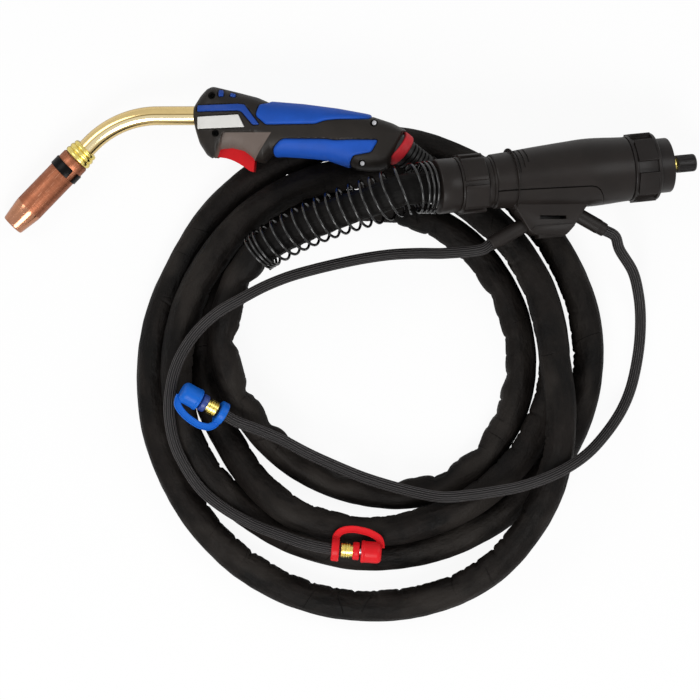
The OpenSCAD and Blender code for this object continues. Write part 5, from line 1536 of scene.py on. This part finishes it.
# ---- Stage ----
class TORCH_OT_stage(bpy.types.Operator):
    """Lays the floor, hangs the soft lamps and sets the camera straight above"""

    bl_idname = "torch.stage"
    bl_label = "Stage"

    def execute(self, context):
        colours = context.scene.torch_colours
        scene = context.scene
        scene.view_settings.view_transform = "Standard"
        deselect()
        bpy.ops.mesh.primitive_plane_add(size=12, location=(0.108, -0.156, -0.0002))
        floor = bpy.context.object
        floor.name = floor.data.name = "studio_floor"
        edit(floor)
        bpy.ops.mesh.select_all(action="SELECT")
        bpy.ops.mesh.subdivide(number_cuts=5)
        bpy.ops.object.mode_set(mode="OBJECT")
        move(floor, Matrix.Identity(4))
        s = Shader("floor_finish")
        grain = s.noise(s.place(), 6, 4)
        base = s.blend(grain, shade(colours.floor, 0.985), shade(colours.floor, 1.01))
        bounce = s.node("BsdfDiffuse", None, {"Color": base})
        glow = s.node("Emission", None, {"Color": (1, 1, 1, 1), "Strength": 1.0})
        seen = s.node("LightPath")
        share = s.node("MixShader", None, {0: seen * 0.92, 1: bounce, 2: glow})
        out = s.tree.nodes.new("ShaderNodeOutputMaterial")
        s.tree.links.new(share.socket, out.inputs["Surface"])
        floor.data.materials.append(s.material)
        world = scene.world or bpy.data.worlds.new("studio_world")
        scene.world = world
        world.use_nodes = True
        tree = world.node_tree
        tree.nodes.clear()
        path = tree.nodes.new("ShaderNodeLightPath")
        either, any_ray = (tree.nodes.new("ShaderNodeMath") for _ in range(2))
        either.operation = any_ray.operation = "MAXIMUM"
        tree.links.new(path.outputs["Is Camera Ray"], either.inputs[0])
        tree.links.new(path.outputs["Is Transmission Ray"], either.inputs[1])
        tree.links.new(either.outputs[0], any_ray.inputs[0])
        tree.links.new(path.outputs["Is Glossy Ray"], any_ray.inputs[1])
        soft, white = (tree.nodes.new("ShaderNodeBackground") for _ in range(2))
        soft.inputs["Strength"].default_value = 0.42
        white.inputs["Strength"].default_value = 1.0
        mixed = tree.nodes.new("ShaderNodeMixShader")
        tree.links.new(any_ray.outputs[0], mixed.inputs[0])
        tree.links.new(soft.outputs[0], mixed.inputs[1])
        tree.links.new(white.outputs[0], mixed.inputs[2])
        out = tree.nodes.new("ShaderNodeOutputWorld")
        tree.links.new(mixed.outputs[0], out.inputs["Surface"])
        for name, place, size, power in (
            ("key_lamp", (-0.1, -1.7, 1.8), 1.3, 34),
            ("fill_lamp", (-1.5, 0.9, 1.8), 1.3, 13),
            ("side_lamp", (1.8, 0.4, 1.6), 1.2, 11),
        ):
            data = bpy.data.lights.new(name, "AREA")
            data.shape, data.size, data.energy = "DISK", size, power
            lamp = bpy.data.objects.new(name, data)
            scene.collection.objects.link(lamp)
            lamp.location = place
            aim = Vector((0.108, -0.156, 0)) - Vector(place)
            lamp.rotation_euler = aim.to_track_quat("-Z", "Y").to_euler()
            lamp.visible_camera = False
        data = bpy.data.cameras.new("camera")
        camera = bpy.data.objects.new("camera", data)
        scene.collection.objects.link(camera)
        data.lens = 900
        data.sensor_width = 36
        high = data.lens * 0.5761 / data.sensor_width
        data.clip_end = 100
        camera.location = (0.1078, -0.1564, high + 0.04)
        camera.rotation_euler = (0, 0, 0)
        scene.camera = camera
        return {"FINISHED"}


# ---- Panel and registration ----
PIECES = (
    TORCH_OT_stage, TORCH_OT_main_hose, TORCH_OT_couplings, TORCH_OT_water_hoses, TORCH_OT_spring, TORCH_OT_nozzle,
    TORCH_OT_neck, TORCH_OT_shells, TORCH_OT_grips, TORCH_OT_screws, TORCH_OT_trigger, TORCH_OT_outlet,
    TORCH_OT_connector_rear, TORCH_OT_housing, TORCH_OT_connector_front,
)


class TORCH_PT_pieces(bpy.types.Panel):
    """Lists the torch's pieces"""

    bl_idname = "TORCH_PT_pieces"
    bl_label = "Welding torch"
    bl_space_type = "VIEW_3D"
    bl_region_type = "UI"
    bl_category = "Torch"

    def draw(self, context):
        for piece in PIECES:
            self.layout.operator(piece.bl_idname)
        for group in (context.scene.torch_sizes, context.scene.torch_colours):
            box = self.layout.box()
            for name in group.bl_rna.properties.keys():
                if name not in ("rna_type", "name"):
                    box.prop(group, name)


CLASSES = (TorchSizes, TorchColours, *PIECES, TORCH_PT_pieces)


def register():
    for cls in CLASSES:
        bpy.utils.register_class(cls)
    bpy.types.Scene.torch_sizes = bpy.props.PointerProperty(type=TorchSizes)
    bpy.types.Scene.torch_colours = bpy.props.PointerProperty(type=TorchColours)


def unregister():
    del bpy.types.Scene.torch_colours
    del bpy.types.Scene.torch_sizes
    for cls in reversed(CLASSES):
        bpy.utils.unregister_class(cls)


def main():
    """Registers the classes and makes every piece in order."""
    register()
    for piece in PIECES:
        group, name = piece.bl_idname.split(".")
        if getattr(getattr(bpy.ops, group), name)() != {"FINISHED"}:
            raise RuntimeError(f"{piece.bl_label} was not made")


if __name__ == "__main__":
    main()
